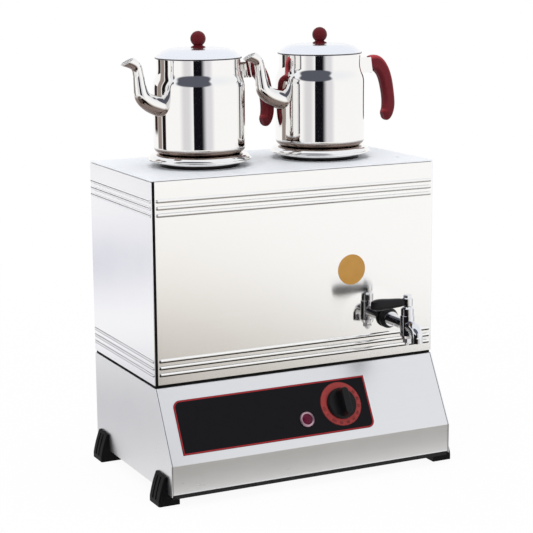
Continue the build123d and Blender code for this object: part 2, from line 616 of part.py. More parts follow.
def make_tap_body():
    inside_end = TAP_AXIS_OUT + JACKET_GAP + TANK_WALL + SHANK_INSIDE
    washer_and_collar = TAP_AXIS_OUT - TAP_WASHER_THICKNESS - COLLAR_LENGTH
    body = rod((0, 0, 0), (0, 1, 0), SHANK_RADIUS, inside_end)
    body += rod((0, washer_and_collar - SHOULDER_LENGTH, 0), (0, 1, 0), SHOULDER_RADIUS, SHOULDER_LENGTH)
    body += turned([(0, -BARREL_BELOW), (BARREL_RADIUS - BARREL_CHAMFER, -BARREL_BELOW),
                    (BARREL_RADIUS, -BARREL_BELOW + 2 * BARREL_CHAMFER), (BARREL_RADIUS, BARREL_ABOVE),
                    (0, BARREL_ABOVE)])
    path = spout_path()
    start = Plane(origin=(0, 0, 0), x_dir=(1, 0, 0), z_dir=(0, -1, 0))
    body += sweep(start * Circle(SPOUT_RADIUS), path=path)
    body -= sweep(start * Circle(SPOUT_BORE_RADIUS), path=path)
    body -= rod((0, 0, 0), (0, 1, 0), SHANK_BORE_RADIUS, inside_end + 1)
    wide = PLUG_CLEARANCE
    body -= turned([(0, -BARREL_BELOW), (plug_radius(-BARREL_BELOW) + wide, -BARREL_BELOW),
                    (plug_radius(BARREL_ABOVE) + wide, BARREL_ABOVE), (0, BARREL_ABOVE)])
    return at_tap(body)


def make_tap():
    face = TAP_AXIS_OUT - TAP_WASHER_THICKNESS
    loose = SHANK_RADIUS + SHANK_CLEARANCE
    washer = rod((0, face, 0), (0, 1, 0), TAP_WASHER_RADIUS, TAP_WASHER_THICKNESS)
    washer -= rod((0, face - 1, 0), (0, 1, 0), loose, TAP_WASHER_THICKNESS + 2)
    collar = rod((0, face - COLLAR_LENGTH, 0), (0, 1, 0), COLLAR_RADIUS, COLLAR_LENGTH)
    collar = chamfer(collar.edges().group_by(Axis.Y)[0], COLLAR_LENGTH * 0.45, COLLAR_LENGTH * 0.4)
    collar -= rod((0, face - COLLAR_LENGTH - 1, 0), (0, 1, 0), loose, COLLAR_LENGTH + 2)
    tank_face = TAP_AXIS_OUT + JACKET_GAP + TANK_WALL
    nut = hex_bar((0, tank_face, 0), (0, 1, 0), LOCK_NUT_RADIUS, LOCK_NUT_LENGTH)
    nut -= rod((0, tank_face - 1, 0), (0, 1, 0), SHANK_RADIUS + PLUG_CLEARANCE, LOCK_NUT_LENGTH + 2)
    bore = STEM_RADIUS + PLUG_CLEARANCE
    bonnet = turned([(bore, BARREL_ABOVE), (BONNET_RADIUS, BARREL_ABOVE),
                     (BONNET_RADIUS, SPOUT_TOP - BARREL_CHAMFER),
                     (BONNET_RADIUS - BARREL_CHAMFER, SPOUT_TOP), (bore, SPOUT_TOP)])
    return {
        "tap_body": make_tap_body(),
        "tap_washer": at_tap(washer),
        "tap_collar": at_tap(collar),
        "tap_lock_nut": at_tap(nut),
        "tap_bonnet": at_tap(bonnet),
        **make_tap_spindle(),
    }


def make_tap_spindle():
    stem_top = LEVER_Z + LEVER_HUB_HEIGHT
    nut_bottom = -BARREL_BELOW - PLUG_CLEARANCE - PLUG_NUT_HEIGHT
    plug_top = BARREL_ABOVE - PLUG_CLEARANCE
    plug = turned([(0, nut_bottom), (PLUG_TIP_RADIUS, nut_bottom), (PLUG_TIP_RADIUS, -BARREL_BELOW),
                   (plug_radius(-BARREL_BELOW), -BARREL_BELOW), (plug_radius(plug_top), plug_top),
                   (STEM_RADIUS, plug_top), (STEM_RADIUS, stem_top), (0, stem_top)])
    plug -= rod((-2 * PLUG_TOP_RADIUS, 0, 0), (1, 0, 0), PLUG_PORT_RADIUS, 4 * PLUG_TOP_RADIUS)
    nut = hex_bar((0, 0, nut_bottom), (0, 0, 1), PLUG_NUT_RADIUS, PLUG_NUT_HEIGHT)
    tip_bottom = nut_bottom - PLUG_TIP_LENGTH
    nut += turned([(0, tip_bottom), (PLUG_TIP_RADIUS * 0.6, tip_bottom),
                   (PLUG_TIP_RADIUS * 1.3, nut_bottom), (0, nut_bottom)])
    nut -= rod((0, 0, nut_bottom), (0, 0, 1), PLUG_TIP_RADIUS + PLUG_CLEARANCE, PLUG_NUT_HEIGHT + 1)
    cap = hex_bar((0, 0, stem_top), (0, 0, 1), CAP_NUT_RADIUS, CAP_NUT_HEIGHT)
    cap = chamfer(cap.edges().group_by(Axis.Z)[-1], 1)
    return {
        "tap_plug": at_tap(plug),
        "tap_plug_nut": at_tap(nut),
        "tap_cap_nut": at_tap(cap),
        **make_lever(),
    }


def make_lever():
    """Chromed hub on the plug's stem with a stud to its left, and the moulded grip on the stud."""
    middle = LEVER_Z + LEVER_HUB_HEIGHT / 2
    hub = rod((0, 0, LEVER_Z), (0, 0, 1), LEVER_HUB_RADIUS, LEVER_HUB_HEIGHT)
    hub = chamfer(hub.edges(), 1)
    hub += rod((0, 0, middle), (-1, 0, 0), LEVER_STUD_RADIUS, LEVER_HUB_RADIUS + LEVER_STUD_LENGTH)
    hub -= rod((0, 0, 0), (0, 0, 1), STEM_RADIUS + PLUG_CLEARANCE, 2 * LEVER_Z)
    stations = [(0, LEVER_ROOT_WIDTH, LEVER_ROOT_HEIGHT),
                (0.3, LEVER_BELLY_WIDTH * 0.88, LEVER_BELLY_HEIGHT * 0.85),
                (0.62, LEVER_BELLY_WIDTH, LEVER_BELLY_HEIGHT),
                (0.9, LEVER_BELLY_WIDTH * 0.96, LEVER_BELLY_HEIGHT * 0.95),
                (1, LEVER_BELLY_WIDTH * 0.7, LEVER_BELLY_HEIGHT * 0.72)]
    start = LEVER_HUB_RADIUS + LEVER_FIT
    sections = []
    for share, width, height in stations:
        out = start + share * (LEVER_LENGTH - start)
        plane = Plane(origin=(-out, 0, middle), x_dir=(0, 1, 0), z_dir=(-1, 0, 0))
        sections.append(plane * RectangleRounded(width, height, width * LEVER_ROUNDING))
    bore = LEVER_STUD_RADIUS + LEVER_FIT
    depth = LEVER_HUB_RADIUS + LEVER_STUD_LENGTH + bore
    grip = loft(sections) - rod((0, 0, middle), (-1, 0, 0), bore, depth)
    return {"tap_lever_hub": at_tap(hub), "tap_lever": at_tap(grip)}


def bolt_places():
    angles = [2 * math.pi * n / HEATER_BOLTS for n in range(HEATER_BOLTS)]
    return [(HEATER_BOLT_CIRCLE * math.cos(a), Y_MIDDLE + HEATER_BOLT_CIRCLE * math.sin(a)) for a in angles]


def make_heater():
    seal_bottom = Z_CASE - HEATER_SEAL_THICKNESS
    flange_bottom = seal_bottom - HEATER_FLANGE_THICKNESS
    centre = (0, Y_MIDDLE, flange_bottom)
    flange = rod(centre, (0, 0, 1), HEATER_FLANGE_RADIUS, HEATER_FLANGE_THICKNESS)
    seal = rod((0, Y_MIDDLE, seal_bottom), (0, 0, 1), HEATER_FLANGE_RADIUS, HEATER_SEAL_THICKNESS)
    seal -= rod(centre, (0, 0, 1), HEATER_HOLE_RADIUS, 2 * HEATER_FLANGE_THICKNESS)
    bolts = []
    for x, y in bolt_places():
        hole = rod((x, y, flange_bottom - 1), (0, 0, 1), SCREW_RADIUS + SCREW_CLEARANCE, JACKET_GAP * 2)
        flange -= hole
        seal -= hole
        head = rod((x, y, TANK_FLOOR), (0, 0, 1), SCREW_HEAD_RADIUS, SCREW_HEAD_HEIGHT)
        shank_bottom = flange_bottom - HEATER_NUT_HEIGHT
        shank = rod((x, y, shank_bottom), (0, 0, 1), SCREW_RADIUS, TANK_FLOOR - shank_bottom)
        nut = hex_bar((x, y, shank_bottom), (0, 0, 1), HEATER_NUT_RADIUS, HEATER_NUT_HEIGHT)
        nut -= rod((x, y, shank_bottom - 1), (0, 0, 1), SCREW_RADIUS + SHAFT_CLEARANCE,
                   HEATER_NUT_HEIGHT + 2)
        bolts += [head + shank, nut]
    for x in (-HEATER_LEG_SPACING / 2, HEATER_LEG_SPACING / 2):
        flange -= rod((x, Y_MIDDLE, flange_bottom - 1), (0, 0, 1), HEATER_TUBE_RADIUS + SHAFT_CLEARANCE,
                      HEATER_FLANGE_THICKNESS + 2)
    pocket_radius = BULB_RADIUS + SCREW_CLEARANCE
    pocket_at = (0, Y_MIDDLE - BULB_OFFSET, flange_bottom)
    pocket_length = HEATER_FLANGE_THICKNESS + BULB_LENGTH
    flange += rod(pocket_at, (0, 0, 1), pocket_radius + BULB_POCKET_WALL, pocket_length + BULB_POCKET_WALL)
    flange -= rod(pocket_at, (0, 0, 1), pocket_radius, pocket_length)
    return {
        "heating_element": make_element(flange_bottom),
        "heater_flange": flange,
        "heater_seal": seal,
        "heater_bolts": Compound(children=bolts),
        "thermostat_bulb": make_bulb(pocket_at),
    }


def make_element(flange_bottom):
    """Tubular element: up through the flange, out to one end, along the rear to the other, and home."""
    level = TANK_FLOOR + HEATER_RISE
    far = Y_MIDDLE + HEATER_LOOP_WIDTH
    leg = HEATER_LEG_SPACING / 2
    foot = flange_bottom - HEATER_LEG_BELOW
    end = HEATER_HALF_LENGTH
    path = FilletPolyline(
        (leg, Y_MIDDLE, foot), (leg, Y_MIDDLE, level), (end, Y_MIDDLE, level), (end, far, level),
        (-end, far, level), (-end, Y_MIDDLE, level), (-leg, Y_MIDDLE, level), (-leg, Y_MIDDLE, foot),
        radius=HEATER_BEND_RADIUS)
    start = Plane(origin=(leg, Y_MIDDLE, foot), z_dir=(0, 0, 1))
    return sweep(start * Circle(HEATER_TUBE_RADIUS), path=path)


def make_bulb(pocket_at):
    """Temperature bulb in its pocket, with the capillary tube that leads to the thermostat."""
    bulb_low = Vector(*pocket_at) + Vector(0, 0, HEATER_FLANGE_THICKNESS)
    bulb = rod(tuple(bulb_low), (0, 0, 1), BULB_RADIUS, BULB_LENGTH)
    plane = Plane(SLOPE_PLANE * Pos(DIAL_AT[0], DIAL_AT[1], -BASE_SHEET - THERMOSTAT_DEPTH))
    exit_point = plane.origin
    turn = exit_point - plane.z_dir * (2 * CAPILLARY_BEND)
    below = Vector(pocket_at[0], pocket_at[1], turn.Z)
    corners = [tuple(point) for point in (exit_point, turn, below, bulb_low)]
    path = FilletPolyline(*corners, radius=CAPILLARY_BEND)
    tube = sweep(Plane(origin=exit_point, z_dir=turn - exit_point) * Circle(CAPILLARY_RADIUS), path=path)
    return bulb + tube


def make_wiring_points():
    x, y = GLAND_X, Y_BACK
    dome_start = y + GLAND_HEX_LENGTH
    gland = hex_bar((x, y, GLAND_Z), (0, 1, 0), GLAND_HEX_RADIUS, GLAND_HEX_LENGTH)
    gland += extrude(Plane(origin=(x, dome_start, GLAND_Z), z_dir=(0, 1, 0)) * Circle(GLAND_DOME_RADIUS),
                     amount=GLAND_REACH - GLAND_HEX_LENGTH, taper=GLAND_DOME_TAPER)
    gland += rod((x, y - GLAND_THREAD_LENGTH, GLAND_Z), (0, 1, 0), GLAND_THREAD_RADIUS, GLAND_THREAD_LENGTH)
    gland -= rod((x, y - GLAND_THREAD_LENGTH - 1, GLAND_Z), (0, 1, 0), GLAND_BORE_RADIUS,
                 GLAND_THREAD_LENGTH + GLAND_REACH + 2)
    nut_start = y - BASE_SHEET - GLAND_NUT_LENGTH
    nut = hex_bar((x, nut_start, GLAND_Z), (0, 1, 0), GLAND_HEX_RADIUS, GLAND_NUT_LENGTH)
    nut -= rod((x, nut_start - 1, GLAND_Z), (0, 1, 0), GLAND_THREAD_RADIUS + SHAFT_CLEARANCE,
               GLAND_NUT_LENGTH + 2)
    left = x + GLAND_FROM_LEFT
    back = y - 2 * GLAND_THREAD_LENGTH
    right = left + TERMINAL_WIDTH
    top = Z_LIP + TERMINAL_HEIGHT
    half = Z_LIP + TERMINAL_HEIGHT / 2
    terminal = block(left, right, back - TERMINAL_DEPTH, back, Z_LIP, top)
    terminal -= block(left - 1, right + 1, back - TERMINAL_DEPTH / 4, back + 1, half, top + 1)
    for n in range(TERMINAL_WAYS):
        way = left + TERMINAL_WIDTH * (n + 0.5) / TERMINAL_WAYS
        terminal -= rod((way, back - TERMINAL_DEPTH - 1, half), (0, 1, 0), SCREW_RADIUS, TERMINAL_DEPTH / 2)
    return {"cable_gland": gland, "gland_nut": nut, "terminal_block": terminal}


def ring_skirt():
    """Convex skirt of the steam ring, from its flat seat down to the rolled rim."""
    centre = RING_RIM_RADIUS - RING_BEAD_RADIUS
    level = RING_SEAT_HEIGHT - RING_RIM_DROP
    ends = []
    curves = []
    for side in (1, -1):
        first = (RING_SEAT_RADIUS, RING_SEAT_HEIGHT - RING_SHEET * (1 - side) / 2)
        last = (centre + side * RING_SHEET / 2, level)
        curves.append(Spline(first, last, tangents=[(1, 0), (0.2, -1)]).edge())
        ends.append((first, last))
    joins = [Line(ends[0][n], ends[1][n]).edge() for n in (0, 1)]
    skirt = revolve(Plane.XZ * make_face([*curves, *joins]), Axis.Z)
    return skirt + revolve(Plane.XZ * Pos(centre, level) * Circle(RING_BEAD_RADIUS), Axis.Z)


def make_steam_ring():
    """Loose ring: a collar in the steam opening, a leg on the top plate, a seat and a rolled rim."""
    collar = STEAM_HOLE_RADIUS - RING_COLLAR_CLEARANCE
    seat = RING_SEAT_HEIGHT
    ring = turned([(RING_STEAM_RADIUS, seat - RING_SHEET), (RING_SEAT_RADIUS, seat - RING_SHEET),
                   (RING_SEAT_RADIUS, seat), (RING_STEAM_RADIUS, seat)])
    ring += turned([(collar - RING_SHEET, -RING_COLLAR_DEPTH), (collar, -RING_COLLAR_DEPTH),
                    (collar, seat), (collar - RING_SHEET, seat)])
    ring += turned([(RING_LEG_RADIUS - RING_SHEET, 0), (RING_LEG_RADIUS, 0), (RING_LEG_RADIUS, seat),
                    (RING_LEG_RADIUS - RING_SHEET, seat)])
    return ring + ring_skirt()


def pot_solid(inset):
    """The teapot's outside for an inset of 0, or its inside for the wall's thickness."""
    radius, neck, low = POT_RADIUS - inset, POT_NECK_RADIUS - inset, inset
    top = POT_HEIGHT + inset
    outline = Polyline((0, low), (radius, low), (radius, POT_SHOULDER_LOW), (neck, POT_SHOULDER_HIGH),
                       (neck, top), (0, top), close=True)
    face = make_face(outline)
    shoulder = [v for v in face.vertices() if v.X > 1 and low + 1 < v.Y < top - 1]
    face = fillet(shoulder, POT_SHOULDER_ROUND)
    bottom = [v for v in face.vertices() if v.X > 1 and v.Y < low + 1]
    face = fillet(bottom, POT_BOTTOM_ROUND - inset)
    return revolve(Plane.XZ * face, Axis.Z)


def section_planes(points):
    """Planes square to a line through (reach, height) points in the XZ plane."""
    vectors = [Vector(x, 0, z) for x, z in points]
    before = [vectors[0], *vectors[:-1]]
    after = [*vectors[1:], vectors[-1]]
    return [Plane(origin=at, x_dir=(0, 1, 0), z_dir=b - a) for at, a, b in zip(vectors, before, after)]


def pot_spout_solid(inset):
    """Swan-neck spout towards -X, its tube thinned by an inset."""
    root, tube = POT_SPOUT_ROOT_RADIUS, POT_SPOUT_TUBE_RADIUS
    low, rise = POT_SPOUT_ROOT_HEIGHT, POT_SPOUT_TIP_HEIGHT - POT_SPOUT_ROOT_HEIGHT
    near, far = POT_SPOUT_STANDOFF, POT_SPOUT_TIP_REACH
    stations = [(-root, 0, root), (near * 0.15, rise * 0.02, root * 0.97),
                (near * 0.57, rise * 0.1, root * 0.86), (near * 0.9, rise * 0.24, tube * 1.5),
                (near * 1.01, rise * 0.47, tube * 1.22), (near * 1.08, rise * 0.7, tube * 1.05),
                (near + (far - near) * 0.3, rise * 0.9, tube * 1.05),
                (far * 1.06, rise * 1.05, tube * 1.25)]
    planes = section_planes([(-POT_RADIUS - out, low + up) for out, up, radius in stations])
    return loft([plane * Circle(radius - inset) for plane, (out, up, radius) in zip(planes, stations)])


def handle_sections():
    """Rounded sections of the moulded grip: out from the bracket, over and down, with a toe turned in."""
    run = HANDLE_REACH - HANDLE_BRACKET_LENGTH
    stations = [(0, 0, 1.2, 0.9), (0.31, -0.02, 1.15, 1), (0.6, 0.08, 1.05, 1), (0.8, 0.24, 0.97, 1),
                (0.93, 0.46, 0.93, 1), (1, 0.67, 0.92, 1), (0.98, 0.85, 0.9, 1), (0.88, 0.94, 0.9, 0.95),
                (0.7, 0.965, 0.55, 0.6)]
    points = [(POT_RADIUS + HANDLE_BRACKET_LENGTH + run * out, HANDLE_BRACKET_LEVEL - HANDLE_DROP * down)
              for out, down, thick, wide in stations]
    sections = []
    for plane, (out, down, thick, wide) in zip(section_planes(points), stations):
        width = HANDLE_WIDTH * wide
        sections.append((plane, RectangleRounded(width, HANDLE_THICKNESS * thick, width * HANDLE_ROUNDING)))
    return sections


def make_teapot():
    """A teapot at the origin, standing on z = 0, with its spout towards -X and its handle towards +X."""
    outside = pot_solid(0)
    body = outside - pot_solid(POT_WALL) - pot_spout_solid(POT_SPOUT_WALL)
    tilt = math.radians(POT_SPOUT_MOUTH_TILT)
    mouth = Plane(origin=(-POT_RADIUS - POT_SPOUT_TIP_REACH * 0.85, 0, POT_SPOUT_TIP_HEIGHT),
                  x_dir=(0, 1, 0), z_dir=(-math.sin(tilt), 0, math.cos(tilt)))
    above = extrude(mouth * Rectangle(4 * POT_RADIUS, POT_RADIUS), amount=POT_RADIUS)
    spout = pot_spout_solid(0) - pot_spout_solid(POT_SPOUT_WALL) - outside - above
    sections = handle_sections()
    joint = sections[0][0]
    start = POT_NECK_RADIUS * 0.8
    length = POT_RADIUS + 2 * HANDLE_BRACKET_LENGTH - start
    bracket = Pos(start + length / 2, 0, HANDLE_BRACKET_LEVEL) * Box(
        length, HANDLE_BRACKET_WIDTH, HANDLE_BRACKET_HEIGHT)
    bracket -= extrude(joint * Rectangle(2 * POT_RADIUS, 2 * POT_RADIUS), amount=POT_RADIUS)
    return {
        "pot_body": body,
        "pot_spout": max(spout.solids(), key=lambda solid: solid.volume),
        "handle_bracket": bracket - pot_solid(-HANDLE_BRACKET_CLEARANCE),
        "pot_handle": loft([plane * section for plane, section in sections]),
        **make_lid(),
    }


def lid_outline(inset):
    """Half of the lid's domed top, from its rim to the flat seat of the knob."""
    rim = POT_NECK_RADIUS + LID_OVERHANG - inset
    base = POT_HEIGHT + LID_RIM - inset
    shares = [(0.94, 0.29), (0.85, 0.6), (0.72, 0.84), (0.58, 0.94)]
    points = [(rim, base), *[(rim * out, base + LID_DOME * up) for out, up in shares],
              (LID_KNOB_FOOT_RADIUS, base + LID_DOME)]
    return Spline(*points, tangents=[(-0.4, 0.9), (-1, 0)])


def make_lid():
    rim = POT_NECK_RADIUS + LID_OVERHANG
    base = POT_HEIGHT + LID_RIM
    top = base + LID_DOME
    seat = LID_KNOB_FOOT_RADIUS
    edges = [lid_outline(0).edge(), lid_outline(LID_SHEET).edge(),
             *Polyline((seat, top), (0, top), (0, top - LID_SHEET), (seat, top - LID_SHEET)).edges(),
             *Polyline((rim - LID_SHEET, base - LID_SHEET), (rim - LID_SHEET, POT_HEIGHT),
                       (rim, POT_HEIGHT), (rim, base)).edges()]
    lid = revolve(Plane.XZ * make_face(edges), Axis.Z)
    skirt = POT_NECK_RADIUS - POT_WALL - LID_SKIRT_CLEARANCE
    lid += turned([(skirt - LID_SHEET, POT_HEIGHT - LID_SKIRT_DEPTH), (skirt, POT_HEIGHT - LID_SKIRT_DEPTH),
                   (skirt, POT_HEIGHT), (rim, POT_HEIGHT), (rim, POT_HEIGHT + LID_SHEET),
                   (skirt - LID_SHEET, POT_HEIGHT + LID_SHEET)])
    lid -= rod((0, 0, POT_HEIGHT), (0, 0, 1), LID_STUD_RADIUS + SCREW_CLEARANCE, 2 * LID_DOME)
    ball = top + LID_KNOB_NECK + LID_KNOB_RADIUS * 0.75
    knob = Pos(0, 0, ball) * Sphere(LID_KNOB_RADIUS)
    knob += turned([(0, top), (seat, top), (seat, top + LID_KNOB_NECK * 0.25),
                    (LID_KNOB_NECK_RADIUS, top + LID_KNOB_NECK * 0.7),
                    (LID_KNOB_NECK_RADIUS, ball), (0, ball)])
    knob += rod((0, 0, top - LID_STUD_LENGTH), (0, 0, 1), LID_STUD_RADIUS, LID_STUD_LENGTH + LID_KNOB_NECK)
    return {"pot_lid": lid, "lid_knob": knob}


def make_teapots():
    pieces = {"steam_ring": Pos(0, 0, -RING_SEAT_HEIGHT) * make_steam_ring(), **make_teapot()}
    placed = {}
    for side, x, turn in (("left", -POT_X, LEFT_POT_TURN), ("right", POT_X, RIGHT_POT_TURN)):
        for name, piece in pieces.items():
            placed[f"{side}_{name}"] = Pos(x, Y_MIDDLE, POT_Z) * Rot(0, 0, turn) * piece
    return placed


def make_parts():
    return {
        **make_casing(),
        **make_top_plate(),
        **make_water_tank(),
        **make_seam_gasket(),
        **make_base(),
        **make_screws(),
        **make_feet(),
        **make_controls(),
        **make_tap(),
        **make_heater(),
        **make_wiring_points(),
        **make_teapots(),
    }


def main():
    os.makedirs("parts", exist_ok=True)
    for name, shape in make_parts().items():
        export_step(shape, f"parts/{name}.step")


if __name__ == "__main__":
    main()
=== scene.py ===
import json
import math

import bmesh
import bpy
from bpy.props import FloatProperty, FloatVectorProperty, IntProperty, PointerProperty
from mathutils import Matrix, Vector


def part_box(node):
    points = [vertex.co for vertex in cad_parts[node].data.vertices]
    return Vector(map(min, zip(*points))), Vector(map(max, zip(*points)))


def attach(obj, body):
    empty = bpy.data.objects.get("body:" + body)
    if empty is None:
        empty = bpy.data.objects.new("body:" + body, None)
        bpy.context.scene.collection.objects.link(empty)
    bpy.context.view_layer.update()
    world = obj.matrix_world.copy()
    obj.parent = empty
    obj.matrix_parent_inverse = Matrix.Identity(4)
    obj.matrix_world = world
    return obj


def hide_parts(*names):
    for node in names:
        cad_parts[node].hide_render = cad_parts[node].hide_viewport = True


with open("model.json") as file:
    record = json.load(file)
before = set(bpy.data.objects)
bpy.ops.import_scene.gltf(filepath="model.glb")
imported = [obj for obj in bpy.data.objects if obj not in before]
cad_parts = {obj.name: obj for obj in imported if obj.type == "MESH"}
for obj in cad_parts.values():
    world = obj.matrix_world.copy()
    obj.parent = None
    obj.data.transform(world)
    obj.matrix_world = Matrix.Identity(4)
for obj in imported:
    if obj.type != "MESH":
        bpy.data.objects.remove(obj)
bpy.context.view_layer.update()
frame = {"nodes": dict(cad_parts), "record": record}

bl_info = {
    "name": "Tea urn dressing",
    "version": (1, 0, 0),
    "blender": (4, 5, 0),
    "location": "3D View > Sidebar > Tea urn",
    "description": "Finishes and printed pieces of an electric tea urn with two teapots",
    "category": "Object",
}

NODES = frame["nodes"]
RECORD = frame["record"]
JOINTS = {joint["name"]: joint for joint in RECORD["behaviour"]["joints"]}
SLOPE_NORMAL = Vector(JOINTS["thermostat_turn"]["axis"])
DIAL_CENTRE = Vector(JOINTS["thermostat_turn"]["pos_m"])
ACROSS = Vector((1, 0, 0))
WHITE = (1.0, 1.0, 1.0)
# How far print stands out of a face, and how far it reaches into it
PRINT = 0.00012
SUNK = 0.00005
SHARP = math.radians(35)
# Lines of rolled or drawn steel to the metre, along X, along Y, or alike in all directions
LINES_ACROSS = (6, 420, 420)
LINES_BACK = (420, 6, 420)
LINES_EVEN = (300, 300, 300)
# Sides of round forms
ROUND_SIDES = 96
TURNED_SIDES = 144
SPOUT_SIDES = 56
RIM_SIDES = 12
BALL_STEPS = 20
# The dial's first number, the step between numbers and the angles of the first and the last
FIRST_NUMBER = 30
NUMBER_STEP = 10
DIAL_FROM = math.radians(32)
DIAL_TO = math.radians(-170)
STICKER_FILM = 0.0003
# The stage: the floor, the cards' layers on it, and what the lamps point at
FLOOR_RADIUS = 9.0
FLOOR_LEVEL = -0.0004
CARD_LAYER = 0.0002
LAMP_AIM = Vector((0, 0.03, 0.3))


def srgb(red, green, blue):
    """A colour given as screen levels from 0 to 255, as the linear colour that shaders take."""
    shares = [level / 255 for level in (red, green, blue)]
    return tuple(((s + 0.055) / 1.055) ** 2.4 if s > 0.04 else s / 12.92 for s in shares)


def facing(normal, at):
    """A matrix whose X runs across the urn and whose Z is a face's normal, placed at a point."""
    upward = normal.cross(ACROSS).normalized()
    turn = Matrix((ACROSS, upward, normal)).transposed()
    return Matrix.Translation(at) @ turn.to_4x4()


SLOPE = facing(SLOPE_NORMAL, DIAL_CENTRE)


class Value:
    """A socket of a material, on which Python's arithmetic adds Math nodes."""

    def __init__(self, finish, socket):
        self.finish = finish
        self.socket = socket

    def math(self, operation, first, second):
        return self.finish.add("ShaderNodeMath", {"operation": operation}, {0: first, 1: second})

    def __add__(self, other):
        return self.math("ADD", self, other)

    def __sub__(self, other):
        return self.math("SUBTRACT", self, other)

    def __mul__(self, other):
        return self.math("MULTIPLY", self, other)

    __radd__ = __add__


class Finish:
    """A material or a world, whose nodes are added one call at a time."""

    def __init__(self, owner):
        owner.use_nodes = True
        self.owner = owner
        self.tree = owner.node_tree
        self.output = next(node for node in self.tree.nodes if node.type.startswith("OUTPUT"))
        self.surface = self.output.inputs["Surface"].links[0].from_node

    def feed(self, socket, value):
        if isinstance(value, Value):
            self.tree.links.new(value.socket, socket)
        elif socket.type == "RGBA":
            socket.default_value = (*value[:3], 1.0)
        else:
            socket.default_value = value

    def add(self, kind, settings=None, sockets=None, output=0):
        """Adds a node: its settings first, then the values or links of its sockets."""
        node = self.tree.nodes.new(kind)
        for key, value in (settings or {}).items():
            setattr(node, key, value)
        for key, value in (sockets or {}).items():
            self.feed(node.inputs[key], value)
        return Value(self, node.outputs[output])

    def place(self):
        return self.add("ShaderNodeTexCoord", output="Object")

    def stretch(self, place, scale):
        return self.add("ShaderNodeMapping", {}, {"Vector": place, "Scale": scale})

    def noise(self, place, scale, detail=3.0):
        return self.add("ShaderNodeTexNoise", {}, {"Vector": place, "Scale": scale, "Detail": detail})

    def mix(self, share, first, second):
        """A colour between two colours."""
        sockets = {0: share, 6: first, 7: second}
        return self.add("ShaderNodeMix", {"data_type": "RGBA"}, sockets, output=2)

    def ramp(self, value, start, end, low=0.0, high=1.0):
        """A value that goes smoothly from low to high as another goes from start to end."""
        sockets = {0: value, 1: start, 2: end, 3: low, 4: high}
        return self.add("ShaderNodeMapRange", {"interpolation_type": "SMOOTHSTEP"}, sockets)

    def axes(self, place):
        """The three values of a vector."""
        node = self.add("ShaderNodeSeparateXYZ", {}, {0: place}).socket.node
        return [Value(self, socket) for socket in node.outputs]

    def upward(self):
        """How far a face looks up, from -1 to 1."""
        return self.axes(self.add("ShaderNodeTexCoord", output="Normal"))[2]

    def distance(self, place, middle=(0, 0, 0)):
        """How far a place is from a point."""
        sockets = {0: place, 1: middle}
        return self.add("ShaderNodeVectorMath", {"operation": "DISTANCE"}, sockets, output="Value")

    def bump(self, height, distance):
        return self.add("ShaderNodeBump", {}, {"Height": height, "Distance": distance})

    def dress(self, sockets):
        for key, value in sockets.items():
            self.feed(self.surface.inputs[key], value)
        return self.owner


def new_finish(name):
    return Finish(bpy.data.materials.new(name))


def steel(name, colour, dull, streak, streak_depth, wipe, metal=1.0, under=None, fade=1.0, painted_low_shade=None,
          brushed=0.0, polish=None):
    """Stainless sheet: fine rolled lines along one direction, wiped clouds and a few hairline scratches.

    Where a tone for undersides is given, faces that look down are painted with it as painted shade, and it
    fades to a share of itself higher up.
    A tone and a level given for painted low shade paint everything below that level with the tone, as painted
    shadow.
    A brushed sheet spreads reflections across its lines.
    A polish is the share of dullness that is left where hands rub it bright, that place and its radius.
    """
    finish = new_finish(name)
    place = finish.place()
    lines = finish.noise(finish.stretch(place, streak), 1.0)
    clouds = finish.noise(place, 16.0, 4.0)
    hairs = finish.noise(finish.stretch(place, (streak[0] * 0.2, streak[1] * 3, streak[2] * 3)), 1.0, 1.0)
    shade = clouds * 0.6 + lines * 0.4
    deep = tuple(level * (1 - wipe) for level in colour)
    tone = finish.mix(shade, deep, colour)
    # Painted shade: faces that look down take the underside tone, less of it higher up
    if under:
        height = finish.axes(place)[2]
        depth = finish.ramp(finish.upward(), -0.05, -0.35) * finish.ramp(height, 0.4, 0.2, fade, 1.0)
        tone = finish.mix(depth, tone, under)
    # Painted shadow: everything below the level takes the dark tone
    if painted_low_shade:
        height = finish.axes(place)[2]
        low_shade_tone, level = painted_low_shade
        tone = finish.mix(finish.ramp(height, level, level - 0.001), tone, low_shade_tone)
    dullness = (lines * 0.3 + clouds * 0.3 + 0.72) * dull
    if polish:
        share, middle, radius = polish
        away = finish.distance(place, middle)
        dullness = dullness * finish.ramp(away, radius, radius * 1.5, share, 1.0)
    return finish.dress({
        "Base Color": tone,
        "Metallic": metal,
        "Roughness": dullness,
        "Anisotropic": brushed,
        "Anisotropic Rotation": 0.25,
        "Normal": finish.bump(lines * 0.7 + hairs * 0.3, streak_depth),
    })


def moulded(name, colour, second, dull, gloss, grain_scale, grain_depth, painted_top_light=None):
    """Moulded plastic or rubber: a slightly mottled colour and a fine grain; where a top tone is given, faces
    that look up are painted paler as a painted highlight.
    """
    finish = new_finish(name)
    place = finish.place()
    mottle = finish.noise(place, 90.0, 4.0)
    grain = finish.noise(place, grain_scale, 2.0)
    tone = finish.mix(mottle, colour, second)
    # Painted highlight: faces that look up take the paler tone
    if painted_top_light:
        tone = finish.mix(finish.ramp(finish.upward(), -0.2, 0.8), tone, painted_top_light)
    return finish.dress({
        "Base Color": tone,
        "Roughness": dull + (mottle - 0.5) * 0.12 + (grain - 0.5) * 0.08,
        "Specular IOR Level": gloss,
        "Normal": finish.bump(grain, grain_depth),
    })


def dress_slot(slot, material):
    """Gives a material to every CAD node of one of the record's slots."""
    for part in RECORD["subparts"]:
        if part["material_slot"] == slot:
            put_on(part["node"], material)


def put_on(node, material):
    mesh = NODES[node].data
    mesh.materials.clear()
    mesh.materials.append(material)


